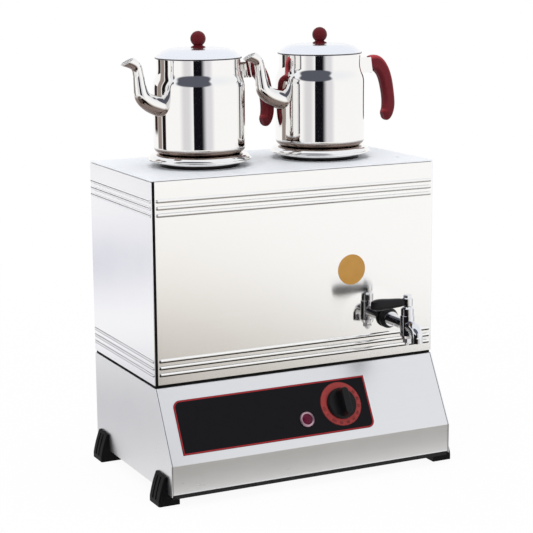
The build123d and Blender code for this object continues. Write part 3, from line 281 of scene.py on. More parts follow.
def slope_box(node):
    """Lowest and highest corner of a CAD node, measured on the slope from the dial's centre."""
    back = SLOPE.inverted()
    points = [back @ vertex.co for vertex in NODES[node].data.vertices]
    low = Vector([min(point[axis] for point in points) for axis in range(3)])
    high = Vector([max(point[axis] for point in points) for axis in range(3)])
    return low, high


def circle(radius, count):
    angles = [2 * math.pi * n / count for n in range(count)]
    return [(radius * math.cos(angle), radius * math.sin(angle)) for angle in angles]


def label_loop(low, high, inset, corner, steps):
    """The label's outline, moved in by an inset: two of its corners are round."""
    left, right = low.x + inset, high.x - inset
    bottom, top = low.y + inset, high.y - inset
    radius = corner - inset
    points = [(left, bottom)]
    for centre, start in (((right - radius, bottom + radius), 270), ((left + radius, top - radius), 90)):
        for n in range(steps + 1):
            angle = math.radians(start + 90 * n / steps)
            points.append((centre[0] + radius * math.cos(angle), centre[1] + radius * math.sin(angle)))
        if start == 270:
            points.append((right, top))
    return points


def closed_band(mesh, outer, inner, low, high):
    """A closed flat band between two loops of points, from a low to a high level."""
    rows = []
    for loop, level in ((outer, low), (outer, high), (inner, high), (inner, low)):
        rows.append([mesh.verts.new((x, y, level)) for x, y in loop])
    for first, second in zip(rows, rows[1:] + rows[:1]):
        for n, after in enumerate([*range(1, len(outer)), 0]):
            mesh.faces.new((first[n], first[after], second[after], second[n]))


def rounded(corners, steps=10, support=0.0007):
    """A line of (radius, height) points through (radius, height, rounding) corners, with arcs there."""
    line = []
    for n, (radius, height, rounding) in enumerate(corners):
        at = Vector((radius, height))
        if not rounding:
            line.append(at)
            continue
        before = (Vector(corners[n - 1][:2]) - at).normalized()
        after = (Vector(corners[n + 1][:2]) - at).normalized()
        half = before.angle(after) / 2
        run = rounding / math.tan(half)
        centre = at + (before + after).normalized() * (rounding / math.sin(half))
        first = at + before * run - centre
        turn = first.angle_signed(at + after * run - centre)
        line.append(at + before * (run + support))
        line.extend(centre + Matrix.Rotation(-turn * k / steps, 2) @ first for k in range(steps + 1))
        line.append(at + after * (run + support))
    return line


def flowing(stations, steps):
    """Points of a smooth line through stations, each a tuple of any length."""
    rows = [Vector(station) for station in stations]
    rows = [rows[0] * 2 - rows[1], *rows, rows[-1] * 2 - rows[-2]]
    line = []
    for a, b, c, d in zip(rows, rows[1:], rows[2:], rows[3:]):
        for k in range(steps):
            t = k / steps
            line.append(b + (c - a) * (t / 2) + (a * 2 - b * 5 + c * 4 - d) * (t * t / 2)
                        + (b * 3 - a - c * 3 + d) * (t ** 3 / 2))
    return [*line, rows[-2]]


def turned_skin(mesh, profile, count):
    """A closed form turned about Z. Its (radius, height) points end on the axis or form a loop."""
    rings = []
    for radius, height in profile:
        if radius == 0:
            rings.append([mesh.verts.new((0, 0, height))])
        else:
            rings.append([mesh.verts.new((x, y, height)) for x, y in circle(radius, count)])
    if profile[0][0]:
        rings.append(rings[0])
    for low, high in zip(rings, rings[1:]):
        for n, after in enumerate([*range(1, count), 0]):
            corners = [low[n % len(low)], low[after % len(low)], high[after % len(high)], high[n % len(high)]]
            mesh.faces.new(list(dict.fromkeys(corners)))


def tube_rows(mesh, line, count):
    """Rows of vertices round a line of (reach, height, radius) points in the XZ plane."""
    rows = []
    for n, (reach, height, radius) in enumerate(line):
        ahead, behind = line[min(n + 1, len(line) - 1)], line[max(n - 1, 0)]
        along = Vector((ahead[0] - behind[0], 0, ahead[1] - behind[1])).normalized()
        lift = along.cross(Vector((0, 1, 0)))
        rows.append([mesh.verts.new(Vector((reach, x, height)) + lift * y) for x, y in circle(radius, count)])
    for low, high in zip(rows, rows[1:]):
        for n, after in enumerate([*range(1, count), 0]):
            mesh.faces.new((low[n], low[after], high[after], high[n]))
    return rows


def bar(mesh, matrix, size):
    """A small printed bar of a length, a width and a height."""
    made = bmesh.ops.create_cube(mesh, size=1.0, matrix=matrix @ Matrix.Diagonal((*size, 1.0)))
    bmesh.ops.bevel(mesh, geom=[edge for edge in mesh.edges if edge.verts[0] in made["verts"]],
                    offset=size[1] * 0.1, segments=1, affect="EDGES")


def printed_number(mesh, text, size, depth, matrix):
    """Adds a number's solid letters to a mesh."""
    curve = bpy.data.curves.new("dial_number", "FONT")
    curve.body = text
    curve.size = size
    curve.extrude = depth
    curve.align_x = "CENTER"
    curve.align_y = "CENTER"
    curve.resolution_u = 3
    holder = bpy.data.objects.new("dial_number", curve)
    bpy.context.scene.collection.objects.link(holder)
    bpy.context.view_layer.update()
    letters = bpy.data.meshes.new_from_object(holder.evaluated_get(bpy.context.evaluated_depsgraph_get()))
    letters.transform(matrix)
    mesh.from_mesh(letters)
    bpy.data.objects.remove(holder)
    bpy.data.curves.remove(curve)
    bpy.data.meshes.remove(letters)


def add_piece(name, mesh, matrix, body, material, smooth=False):
    """Makes a piece from a mesh, puts it in place and lets it ride on a body."""
    bmesh.ops.recalc_face_normals(mesh, faces=mesh.faces)
    for face in mesh.faces:
        face.smooth = smooth
    for edge in mesh.edges:
        edge.smooth = edge.calc_face_angle(0.0) < SHARP
    data = bpy.data.meshes.new(name)
    mesh.to_mesh(data)
    mesh.free()
    data.transform(matrix)
    data.materials.append(material)
    piece = bpy.data.objects.new(name, data)
    bpy.context.scene.collection.objects.link(piece)
    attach(piece, body)
    return piece


class UrnFinishes(bpy.types.PropertyGroup):
    """Colours and printed sizes of the tea urn."""

    casing_colour: FloatVectorProperty(
        name="Casing steel", description="Colour of the polished casing panels",
        subtype="COLOR", default=srgb(251, 250, 248))
    base_colour: FloatVectorProperty(
        name="Base steel", description="Colour of the satin base panels",
        subtype="COLOR", default=srgb(234, 234, 235))
    pot_colour: FloatVectorProperty(
        name="Teapot steel", description="Colour of the mirror-polished teapots",
        subtype="COLOR", default=srgb(248, 247, 245))
    bakelite_colour: FloatVectorProperty(
        name="Bakelite", description="Colour of the teapots' handles and lid knobs",
        subtype="COLOR", default=srgb(104, 22, 31))
    black_colour: FloatVectorProperty(
        name="Black plastic", description="Colour of the feet, knob and lever",
        subtype="COLOR", default=srgb(13, 13, 15))
    label_colour: FloatVectorProperty(
        name="Label", description="Colour of the control label",
        subtype="COLOR", default=srgb(17, 17, 21))
    outline_colour: FloatVectorProperty(
        name="Label outline", description="Colour of the line round the label",
        subtype="COLOR", default=srgb(168, 46, 50))
    dial_colour: FloatVectorProperty(
        name="Dial", description="Colour of the ring round the thermostat knob",
        subtype="COLOR", default=srgb(166, 67, 66))
    lens_colour: FloatVectorProperty(
        name="Pilot lens", description="Colour of the pilot lamp",
        subtype="COLOR", default=srgb(98, 16, 50))
    sticker_colour: FloatVectorProperty(
        name="Round sticker", description="Colour of the plain round sticker on the front",
        subtype="COLOR", default=srgb(200, 150, 70))
    sticker_radius: FloatProperty(
        name="Sticker radius", description="Radius of the plain round sticker",
        unit="LENGTH", default=0.0215)
    sticker_across: FloatProperty(
        name="Sticker across", description="Place of the sticker to the right of the middle",
        unit="LENGTH", default=0.084)
    sticker_height: FloatProperty(
        name="Sticker height", description="Height of the sticker's middle above the floor",
        unit="LENGTH", default=0.2863)
    outline_width: FloatProperty(
        name="Outline width", description="Width of the line round the label",
        unit="LENGTH", default=0.0019)
    label_corner: FloatProperty(
        name="Label corner", description="Radius of the label's two round corners",
        unit="LENGTH", default=0.010)
    number_size: FloatProperty(
        name="Number size", description="Height of the numbers on the dial",
        unit="LENGTH", default=0.0052)
    number_count: IntProperty(
        name="Numbers", description="How many numbers stand on the dial", default=10)


class UrnTeapots(bpy.types.PropertyGroup):
    """Sizes of the turned and drawn teapot pieces that the CAD boxes don't give."""

    left_turn: FloatProperty(
        name="Left pot turn", description="Turn of the left teapot about its own axis",
        subtype="ANGLE", default=math.radians(11))
    right_turn: FloatProperty(
        name="Right pot turn", description="Turn of the right teapot about its own axis",
        subtype="ANGLE", default=math.radians(4))
    wall: FloatProperty(
        name="Wall", description="Thickness of the teapots' sheet", unit="LENGTH", default=0.001)
    neck_radius: FloatProperty(
        name="Neck radius", description="Outer radius of the neck", unit="LENGTH", default=0.058)
    neck_length: FloatProperty(
        name="Neck length", description="Height of the straight neck", unit="LENGTH", default=0.020)
    shoulder_height: FloatProperty(
        name="Shoulder height", description="Height of the cone under the neck",
        unit="LENGTH", default=0.0145)
    shoulder_round: FloatProperty(
        name="Shoulder rounding", description="Radius of both ends of the cone",
        unit="LENGTH", default=0.034)
    bottom_round: FloatProperty(
        name="Bottom rounding", description="Radius of the edge at the bottom", unit="LENGTH", default=0.010)
    lid_dome: FloatProperty(
        name="Lid dome", description="Height of the lid's dome above its rim", unit="LENGTH", default=0.0135)
    lid_rim: FloatProperty(
        name="Lid rim", description="Height of the lid's rim", unit="LENGTH", default=0.0014)
    lid_skirt: FloatProperty(
        name="Lid skirt", description="Depth of the lid's skirt in the neck", unit="LENGTH", default=0.008)
    knob_foot: FloatProperty(
        name="Knob foot", description="Radius of the lid knob's foot", unit="LENGTH", default=0.010)
    knob_neck: FloatProperty(
        name="Knob neck", description="Radius of the lid knob's neck", unit="LENGTH", default=0.0064)
    knob_rise: FloatProperty(
        name="Knob rise", description="Height of the lid knob's neck", unit="LENGTH", default=0.004)
    # The ring drop sets the level under which the steam ring is painted dark, as painted shadow under its rim
    ring_shadow_drop: FloatProperty(
        name="Ring drop", description="Height of the pot above the underside of the steam ring's rim",
        unit="LENGTH", default=0.0122)
    spout_root: FloatProperty(
        name="Spout root", description="Radius of the spout at the pot", unit="LENGTH", default=0.014)
    spout_tube: FloatProperty(
        name="Spout tube", description="Radius of the spout's slim part", unit="LENGTH", default=0.007)
    spout_share: FloatProperty(
        name="Spout level", description="Height of the spout's root as a share of the pot", default=0.52)
    spout_standoff: FloatProperty(
        name="Spout standoff", description="Distance of the rising tube from the pot",
        unit="LENGTH", default=0.032)
    spout_reach: FloatProperty(
        name="Spout reach", description="Distance of the mouth from the pot", unit="LENGTH", default=0.0575)
    spout_rise: FloatProperty(
        name="Spout rise", description="Height of the mouth above the pot's rim",
        unit="LENGTH", default=0.002)
    spout_wall: FloatProperty(
        name="Spout wall", description="Thickness of the spout's tube", unit="LENGTH", default=0.0012)
    mouth_tilt: FloatProperty(
        name="Mouth tilt", description="Slope of the spout's cut mouth",
        subtype="ANGLE", default=math.radians(26))


class UrnStage(bpy.types.PropertyGroup):
    """The camera and the light that the urn is shown in."""

    camera_place: FloatVectorProperty(
        name="Camera place", description="Where the camera stands",
        subtype="TRANSLATION", default=(-1.0031, -2.0318, 0.7304))
    camera_turn: FloatProperty(
        name="Camera turn", description="Angle of the camera round the urn",
        subtype="ANGLE", default=math.radians(-26.07))
    camera_pitch: FloatProperty(
        name="Camera pitch", description="Angle by which the camera looks down",
        subtype="ANGLE", default=math.radians(11.13))
    camera_roll: FloatProperty(
        name="Camera roll", description="Tilt of the camera about its own axis",
        subtype="ANGLE", default=math.radians(-0.43))
    camera_lens: FloatProperty(
        name="Camera lens", description="Focal length in millimetres",
        subtype="DISTANCE_CAMERA", default=110.03)
    sky_light: FloatProperty(
        name="Sky light", description="Strength of the even light on what isn't polished", default=0.72)
    overhead_power: FloatProperty(
        name="Overhead lamp", description="Power of the soft lamp above the urn",
        unit="POWER", default=14.5)
    side_power: FloatProperty(
        name="Side lamp", description="Power of the soft lamp at the front left",
        unit="POWER", default=7.0)


class URN_OT_casing(bpy.types.Operator):
    """Polished steel for the casing panels and the top plate"""

    bl_idname = "urn.casing"
    bl_label = "Casing and top plate"

    def execute(self, context):
        colour = tuple(context.scene.urn_finishes.casing_colour)
        # Painted shade: the undersides of the beads are painted dark, darkest low on the front panel and
        # faint on the sides
        painted_bead_shade = srgb(40, 36, 33)
        painted_side_bead_shade = srgb(150, 150, 156)
        low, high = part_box("tap_washer")
        rub_shift, rub_radius = 0.027, 0.035
        rubbed = Vector(((low.x + high.x) / 2 - rub_shift, high.y, (low.z + high.z) / 2))
        front = steel("casing_front_steel", colour, 0.15, LINES_ACROSS, 0.000003, 0.03,
                      under=painted_bead_shade, fade=0.5, brushed=0.8, polish=(0.33, rubbed, rub_radius))
        dress_slot("casing_steel", front)
        sides = steel("casing_side_steel", srgb(247, 247, 250), 0.2, LINES_BACK, 0.000006, 0.04,
                      under=painted_side_bead_shade, fade=0.15)
        put_on("casing_left", sides)
        put_on("casing_right", sides)
        plate = steel("top_plate_steel", srgb(247, 250, 255), 0.5, LINES_ACROSS, 0.00002, 0.03, metal=0.12)
        put_on("top_plate", plate)
        tank = steel("tank_steel", srgb(205, 205, 206), 0.35, (300, 300, 8), 0.00004, 0.1)
        dress_slot("tank_steel", tank)
        return {"FINISHED"}


class URN_OT_base(bpy.types.Operator):
    """Satin steel for the folded base, and its black cover"""

    bl_idname = "urn.base"
    bl_label = "Base"

    def execute(self, context):
        colour = tuple(context.scene.urn_finishes.base_colour)
        dress_slot("base_steel", steel("base_steel", colour, 0.3, (7, 380, 380), 0.00003, 0.07))
        black = context.scene.urn_finishes.black_colour
        paint = moulded("cover_paint", black, srgb(28, 28, 29), 0.5, 0.25, 700.0, 0.00006)
        dress_slot("cover_black", paint)
        return {"FINISHED"}


class URN_OT_rubber(bpy.types.Operator):
    """Matt black rubber seals, grained plastic feet and the cable gland"""

    bl_idname = "urn.rubber"
    bl_label = "Seals, feet and gland"

    def execute(self, context):
        black = context.scene.urn_finishes.black_colour
        rubber = moulded("seal_rubber", srgb(10, 10, 11), srgb(22, 22, 23), 0.7, 0.1, 500.0, 0.00008)
        dress_slot("seal_rubber", rubber)
        plastic = moulded("foot_plastic", srgb(6, 6, 8), srgb(11, 11, 13), 0.5, 0.08, 1400.0, 0.00012)
        dress_slot("foot_plastic", plastic)
        nylon = moulded("gland_nylon", black, srgb(34, 34, 35), 0.45, 0.3, 900.0, 0.00005)
        dress_slot("gland_nylon", nylon)
        return {"FINISHED"}


class URN_OT_label(bpy.types.Operator):
    """Dark control label with its thin outline"""

    bl_idname = "urn.label"
    bl_label = "Control label"

    def execute(self, context):
        finishes = context.scene.urn_finishes
        film = moulded("label_film", finishes.label_colour, srgb(21, 20, 24), 0.3, 0.08, 1500.0, 0.00001)
        dress_slot("label_film", film)
        low, high = slope_box("control_label")
        edge, corner_steps = 0.0004, 8
        loops = [label_loop(low, high, inset, finishes.label_corner, corner_steps)
                 for inset in (edge, edge + finishes.outline_width)]
        mesh = bmesh.new()
        closed_band(mesh, loops[0], loops[1], high.z - SUNK, high.z + PRINT)
        ink = moulded("outline_ink", finishes.outline_colour, srgb(146, 38, 44), 0.4, 0.15, 1200.0, 0.00001)
        add_piece("label_outline", mesh, SLOPE, "urn", ink)
        return {"FINISHED"}


class URN_OT_dial(bpy.types.Operator):
    """Red dial ring with plain numbers and ticks, and the knob over it"""

    bl_idname = "urn.dial"
    bl_label = "Thermostat dial"

    def execute(self, context):
        finishes = context.scene.urn_finishes
        film = moulded("dial_film", finishes.dial_colour, srgb(152, 59, 58), 0.4, 0.15, 1500.0, 0.00001)
        dress_slot("dial_film", film)
        high = slope_box("dial_plate")[1]
        radius, level = high.x, high.z
        ink = moulded("dial_ink", srgb(44, 8, 12), srgb(56, 12, 15), 0.4, 0.15, 1200.0, 0.00001)
        steps = finishes.number_count - 1
        numbers_out, ticks_out = radius * 0.86, radius * 0.965
        mesh = bmesh.new()
        for n in range(steps + 1):
            angle = DIAL_FROM + (DIAL_TO - DIAL_FROM) * n / steps
            turn = SLOPE @ Matrix.Rotation(angle, 4, "Z") @ Matrix.Translation((numbers_out, 0, level))
            printed_number(mesh, str(FIRST_NUMBER + NUMBER_STEP * n), finishes.number_size, PRINT,
                           turn @ Matrix.Rotation(-math.pi / 2, 4, "Z"))
        add_piece("dial_numbers", mesh, Matrix.Identity(4), "urn", ink)
        mesh = bmesh.new()
        tick_size = (0.0012, 0.0004, 2 * PRINT)
        for n in range(2 * steps + 1):
            angle = DIAL_FROM + (DIAL_TO - DIAL_FROM) * n / (2 * steps)
            turn = Matrix.Rotation(angle, 4, "Z") @ Matrix.Translation((ticks_out, 0, level))
            bar(mesh, turn, tick_size)
        outer, inner = [circle(radius - inset, ROUND_SIDES) for inset in (0.0001, 0.0005)]
        closed_band(mesh, outer, inner, level - SUNK, level + PRINT)
        add_piece("dial_ticks", mesh, SLOPE, "urn", ink)
        plastic = moulded("knob_plastic", finishes.black_colour, srgb(22, 22, 24), 0.35, 0.2, 1300.0, 0.00003)
        dress_slot("knob_plastic", plastic)
        return {"FINISHED"}


class URN_OT_pilot_lamp(bpy.types.Operator):
    """Dark pink lens of the pilot lamp in its bright bezel"""

    bl_idname = "urn.pilot_lamp"
    bl_label = "Pilot lamp"

    def execute(self, context):
        colour = context.scene.urn_finishes.lens_colour
        lens = new_finish("pilot_lens")
        cells = lens.noise(lens.place(), 420.0, 1.0)
        dress_slot("lamp_lens", lens.dress({
            "Base Color": lens.mix(cells, srgb(74, 10, 36), colour),
            "Roughness": 0.15 + cells * 0.1,
            "Specular IOR Level": 0.15,
            "Normal": lens.bump(cells, 0.0001),
        }))
        bezel = steel("bezel_steel", srgb(214, 180, 194), 0.4, LINES_EVEN, 0.00001, 0.06)
        put_on("pilot_bezel", bezel)
        return {"FINISHED"}


class URN_OT_sticker(bpy.types.Operator):
    """Plain round amber sticker on the front panel"""

    bl_idname = "urn.sticker"
    bl_label = "Round sticker"

    def execute(self, context):
        finishes = context.scene.urn_finishes
        radius = finishes.sticker_radius
        mesh = bmesh.new()
        turned_skin(mesh, [
            (0, -SUNK), (radius, -SUNK), (radius, STICKER_FILM * 0.5), (radius - STICKER_FILM, STICKER_FILM),
            (0, STICKER_FILM)], ROUND_SIDES)
        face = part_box("tap_washer")[1].y
        at = Vector((finishes.sticker_across, face, finishes.sticker_height))
        amber = moulded("sticker_film", finishes.sticker_colour, srgb(188, 136, 58), 0.35, 0.4,
                        900.0, 0.00002)
        add_piece("round_sticker", mesh, facing(Vector((0, -1, 0)), at), "urn", amber)
        return {"FINISHED"}


class URN_OT_tap(bpy.types.Operator):
    """Chromed plug tap with its black lever"""

    bl_idname = "urn.tap"
    bl_label = "Tap"

    def execute(self, context):
        black = context.scene.urn_finishes.black_colour
        chrome = steel("tap_chrome", srgb(236, 237, 240), 0.06, LINES_EVEN, 0.00001, 0.06)
        dress_slot("tap_chrome", chrome)
        bakelite = moulded("lever_bakelite", black, srgb(22, 20, 25), 0.3, 0.22, 1300.0, 0.00002)
        dress_slot("lever_bakelite", bakelite)
        return {"FINISHED"}


class URN_OT_teapots(bpy.types.Operator):
    """Turned mirror-polished teapots with drawn swan-neck spouts, satin lids and bakelite handles"""

    bl_idname = "urn.teapots"
    bl_label = "Teapots and steam rings"

    def execute(self, context):
        finishes = context.scene.urn_finishes
        sizes = context.scene.urn_teapots
        bright = tuple(finishes.pot_colour)
        # Painted shade: the pots' bottom rounding and the spouts' undersides are painted brownish dark
        mirror = steel("pot_steel", bright, 0.035, (5, 5, 500), 0.000004, 0.03, under=srgb(132, 116, 108))
        satin = steel("lid_steel", srgb(246, 248, 253), 0.2, LINES_EVEN, 0.000008, 0.03)
        # Painted shade: the rolled rim's steel is dark to give the line of shadow under the lid's edge
        edge = steel("lid_rim_shade_steel", srgb(92, 86, 86), 0.25, LINES_EVEN, 0.000008, 0.1)
        bakelite = (finishes.bakelite_colour, srgb(84, 14, 23), 0.4, 0.16, 700.0, 0.00002)
        # The handles' paler top tone is a painted highlight where light falls on them
        red = moulded("handle_bakelite", *bakelite, painted_top_light=srgb(176, 62, 70))
        dark_red = moulded("knob_bakelite", *bakelite)
        dress_slot("pot_steel", mirror)
        dress_slot("handle_bakelite", red)
        for side, turn in (("left", sizes.left_turn), ("right", sizes.right_turn)):
            pot, lid = f"{side}_pot", f"{side}_lid"
            low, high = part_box(f"{side}_pot_body")
            at = Vector(((low.x + high.x) / 2, (low.y + high.y) / 2, low.z))
            stand = Matrix.Translation(at) @ Matrix.Rotation(turn, 4, "Z")
            radius, height = (high.x - low.x) / 2, high.z - low.z
            self.swap(f"{side}_pot_body", self.body_profile(sizes, radius, height), stand, pot, mirror)
            self.swap(f"{side}_pot_lid", self.lid_profile(sizes, height), stand, lid, satin)
            self.add_rim(side, sizes, height, stand, edge)
            top = height + sizes.lid_rim + sizes.lid_dome
            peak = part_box(f"{side}_lid_knob")[1].z - at.z
            self.swap(f"{side}_lid_knob", self.knob_profile(sizes, top, peak), stand, lid, dark_red)
            self.add_spout(side, sizes, radius, height, stand, mirror)
            # Painted shadow: the steam ring is painted near black below the ring drop, under its rim
            painted_rim_shadow = srgb(34, 31, 31), low.z - sizes.ring_shadow_drop
            ring = steel(f"{side}_ring_steel", bright, 0.06, LINES_EVEN, 0.000004, 0.03, painted_low_shade=painted_rim_shadow)
            put_on(f"{side}_steam_ring", ring)
        return {"FINISHED"}

    def swap(self, node, profile, stand, body, material):
        """Puts a finely turned piece in place of a turned CAD node."""
        mesh = bmesh.new()
        turned_skin(mesh, profile, TURNED_SIDES)
        piece = add_piece(f"{node}_turned", mesh, stand, body, material, True)
        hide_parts(node)

    def body_profile(self, sizes, radius, height):
        """Outside of the pot from the middle of its bottom to its rim, and back down its inside."""
        high = height - sizes.neck_length
        low = high - sizes.shoulder_height
        wall = sizes.wall
        outside = rounded([
            (0, 0, 0), (radius, 0, sizes.bottom_round), (radius, low, sizes.shoulder_round),
            (sizes.neck_radius, high, sizes.shoulder_round), (sizes.neck_radius, height, 0)])
        inside = rounded([
            (0, wall, 0), (radius - wall, wall, sizes.bottom_round - wall),
            (radius - wall, low, sizes.shoulder_round),
            (sizes.neck_radius - wall, high, sizes.shoulder_round), (sizes.neck_radius - wall, height, 0)])
        return [*outside, *reversed(inside)]

    def lid_profile(self, sizes, height):
        """Dome of the lid from its middle to its rim, then its underside with the skirt."""
        rim = sizes.neck_radius + 1.5 * sizes.wall
        base = height + sizes.lid_rim
        top = base + sizes.lid_dome
        skirt = sizes.neck_radius - 1.6 * sizes.wall
        shares = [(0.58, 0.94), (0.72, 0.84), (0.85, 0.6), (0.94, 0.29)]
        bulge = [(rim * out, base + sizes.lid_dome * up) for out, up in shares]
        dome = flowing([(sizes.knob_foot, top), *bulge, (rim, base)], 6)
        under = [(rim, height), (skirt, height), (skirt, height - sizes.lid_skirt),
                 (skirt - sizes.wall, height - sizes.lid_skirt), (skirt - sizes.wall, base)]
        return [(0, top), *dome, *under, (0, top - sizes.wall)]

    def add_rim(self, side, sizes, height, stand, material):
        """Rolled edge round the lid, just above the neck."""
        out, up = sizes.neck_radius + 1.3 * sizes.wall, height + 1.1 * sizes.wall
        mesh = bmesh.new()
        turned_skin(mesh, [(out + x, up + y) for x, y in circle(0.9 * sizes.wall, RIM_SIDES)], TURNED_SIDES)
        add_piece(f"{side}_lid_rim", mesh, stand, f"{side}_lid", material, True)

    def knob_profile(self, sizes, top, peak):
        """Foot, neck and ball of the lid's knob."""
        radius = (peak - top - sizes.knob_rise) / 1.75
        centre = peak - radius
        start = math.asin(sizes.knob_neck / radius)
        angles = [start + (math.pi - start) * n / BALL_STEPS for n in range(BALL_STEPS)]
        ball = [(radius * math.sin(angle), centre - radius * math.cos(angle)) for angle in angles]
        foot = [(0, top), (sizes.knob_foot, top), (sizes.knob_foot, top + sizes.knob_rise * 0.25),
                (sizes.knob_neck, top + sizes.knob_rise * 0.7)]
        return [*foot, *ball, (0, peak)]

    def add_spout(self, side, sizes, radius, height, stand, material):
        """Swan-neck tube, cut off at a slope by its mouth."""
        root, tube = sizes.spout_root, sizes.spout_tube
        near, far = sizes.spout_standoff, sizes.spout_reach
        low = height * sizes.spout_share
        rise = height + sizes.spout_rise - low
        stations = [(-2 * sizes.wall, 0, root), (near * 0.15, rise * 0.02, root * 0.97),
                    (near * 0.57, rise * 0.1, root * 0.86), (near * 0.9, rise * 0.24, tube * 1.5),
                    (near * 1.01, rise * 0.47, tube * 1.22), (near * 1.08, rise * 0.7, tube * 1.05),
                    (near + (far - near) * 0.3, rise * 0.9, tube * 1.05),
                    (far * 1.06, rise * 1.05, tube * 1.25)]
        line = flowing([(-radius - out, low + up, thick) for out, up, thick in stations], 7)
        bore = [(reach, level, thick - sizes.spout_wall) for reach, level, thick in line]
        mesh = bmesh.new()
        outer, inner = [tube_rows(mesh, rows, SPOUT_SIDES)[0] for rows in (line, bore)]
        for n, after in enumerate([*range(1, SPOUT_SIDES), 0]):
            mesh.faces.new((outer[n], outer[after], inner[after], inner[n]))
        mouth = Vector((-radius - far * 0.85, 0, height + sizes.spout_rise))
        across = Vector((-math.sin(sizes.mouth_tilt), 0, math.cos(sizes.mouth_tilt)))
        everything = [*mesh.verts, *mesh.edges, *mesh.faces]
        cut = bmesh.ops.bisect_plane(mesh, geom=everything, plane_co=mouth, plane_no=across, clear_outer=True)
        lips = [item for item in cut["geom_cut"] if isinstance(item, bmesh.types.BMEdge)]
        bmesh.ops.bridge_loops(mesh, edges=lips)
        piece = add_piece(f"{side}_pot_spout_drawn", mesh, stand, f"{side}_pot", material, True)
        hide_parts(f"{side}_pot_spout")


class URN_OT_inside(bpy.types.Operator):
    """Fasteners and the parts inside the base and tank"""

    bl_idname = "urn.inside"
    bl_label = "Fasteners and inside parts"

    def execute(self, context):
        fasteners = steel("fastener_steel", srgb(205, 205, 202), 0.3, (500, 500, 500), 0.00002, 0.12)
        dress_slot("fastener_steel", fasteners)
        heater = steel("heater_steel", srgb(178, 178, 180), 0.35, (400, 400, 40), 0.00002, 0.15)
        dress_slot("heater_steel", heater)
        plastic = moulded("inner_plastic", srgb(224, 220, 208), srgb(214, 208, 194), 0.45, 0.4,
                          900.0, 0.00004)
        dress_slot("inner_plastic", plastic)
        return {"FINISHED"}


def soft_card(name, size, matrix, tone, edge, oval=False):
    """A card that only reflections see, its tone fading out towards its edges."""
    mesh = bmesh.new()
    half = 0.5
    bmesh.ops.create_grid(mesh, x_segments=1, y_segments=1, size=half)
    data = bpy.data.meshes.new(name)
    mesh.to_mesh(data)
    mesh.free()
    card = bpy.data.objects.new(name, data)
    card.matrix_world = matrix @ Matrix.Diagonal((size[0], size[1], 1.0, 1.0))
    bpy.context.scene.collection.objects.link(card)
    finish = new_finish(name)
    place = finish.place()
    if oval:
        mask = finish.ramp(finish.distance(place), half, half - edge[0])
    else:
        fades = []
        for axis, soft in zip(finish.axes(place), edge):
            out = finish.add("ShaderNodeMath", {"operation": "ABSOLUTE"}, {0: axis})
            fades.append(finish.ramp(out, half, half - soft))
        mask = fades[0] * fades[1]
    clear = finish.add("ShaderNodeBsdfTransparent")
    glow = finish.add("ShaderNodeEmission", {}, {"Color": tone, "Strength": 1.0})
    both = finish.add("ShaderNodeMixShader", {}, {0: mask, 1: clear, 2: glow})
    finish.feed(finish.output.inputs["Surface"], both)
    data.materials.append(finish.owner)
    card.visible_camera = False
    card.visible_diffuse = False
    card.visible_shadow = False


def standing(degrees, distance, centre_height, about):
    """A matrix for a card that stands round a point at an angle and a distance and faces it."""
    angle = math.radians(degrees)
    out = Vector((math.cos(angle), math.sin(angle), 0))
    side = Vector((-out.y, out.x, 0))
    turn = Matrix((side, Vector((0, 0, 1)), -out)).transposed()
    return Matrix.Translation(about + out * distance + Vector((0, 0, centre_height))) @ turn.to_4x4()


def leaning(degrees, lift, distance, about):
    """A matrix for a card that hangs round a point at two angles and a distance and faces it."""
    angle, rise = math.radians(degrees), math.radians(lift)
    out = Vector((math.cos(angle) * math.cos(rise), math.sin(angle) * math.cos(rise), math.sin(rise)))
    side = Vector((0, 0, 1)).cross(out).normalized()
    turn = Matrix((side, out.cross(side), -out)).transposed()
    return Matrix.Translation(about + out * distance) @ turn.to_4x4()


def lying(x, y, degrees, layer):
    """A matrix for a card that lies in a layer on the floor, turned about its middle."""
    return Matrix.Translation((x, y, layer * CARD_LAYER)) @ Matrix.Rotation(math.radians(degrees), 4, "Z")


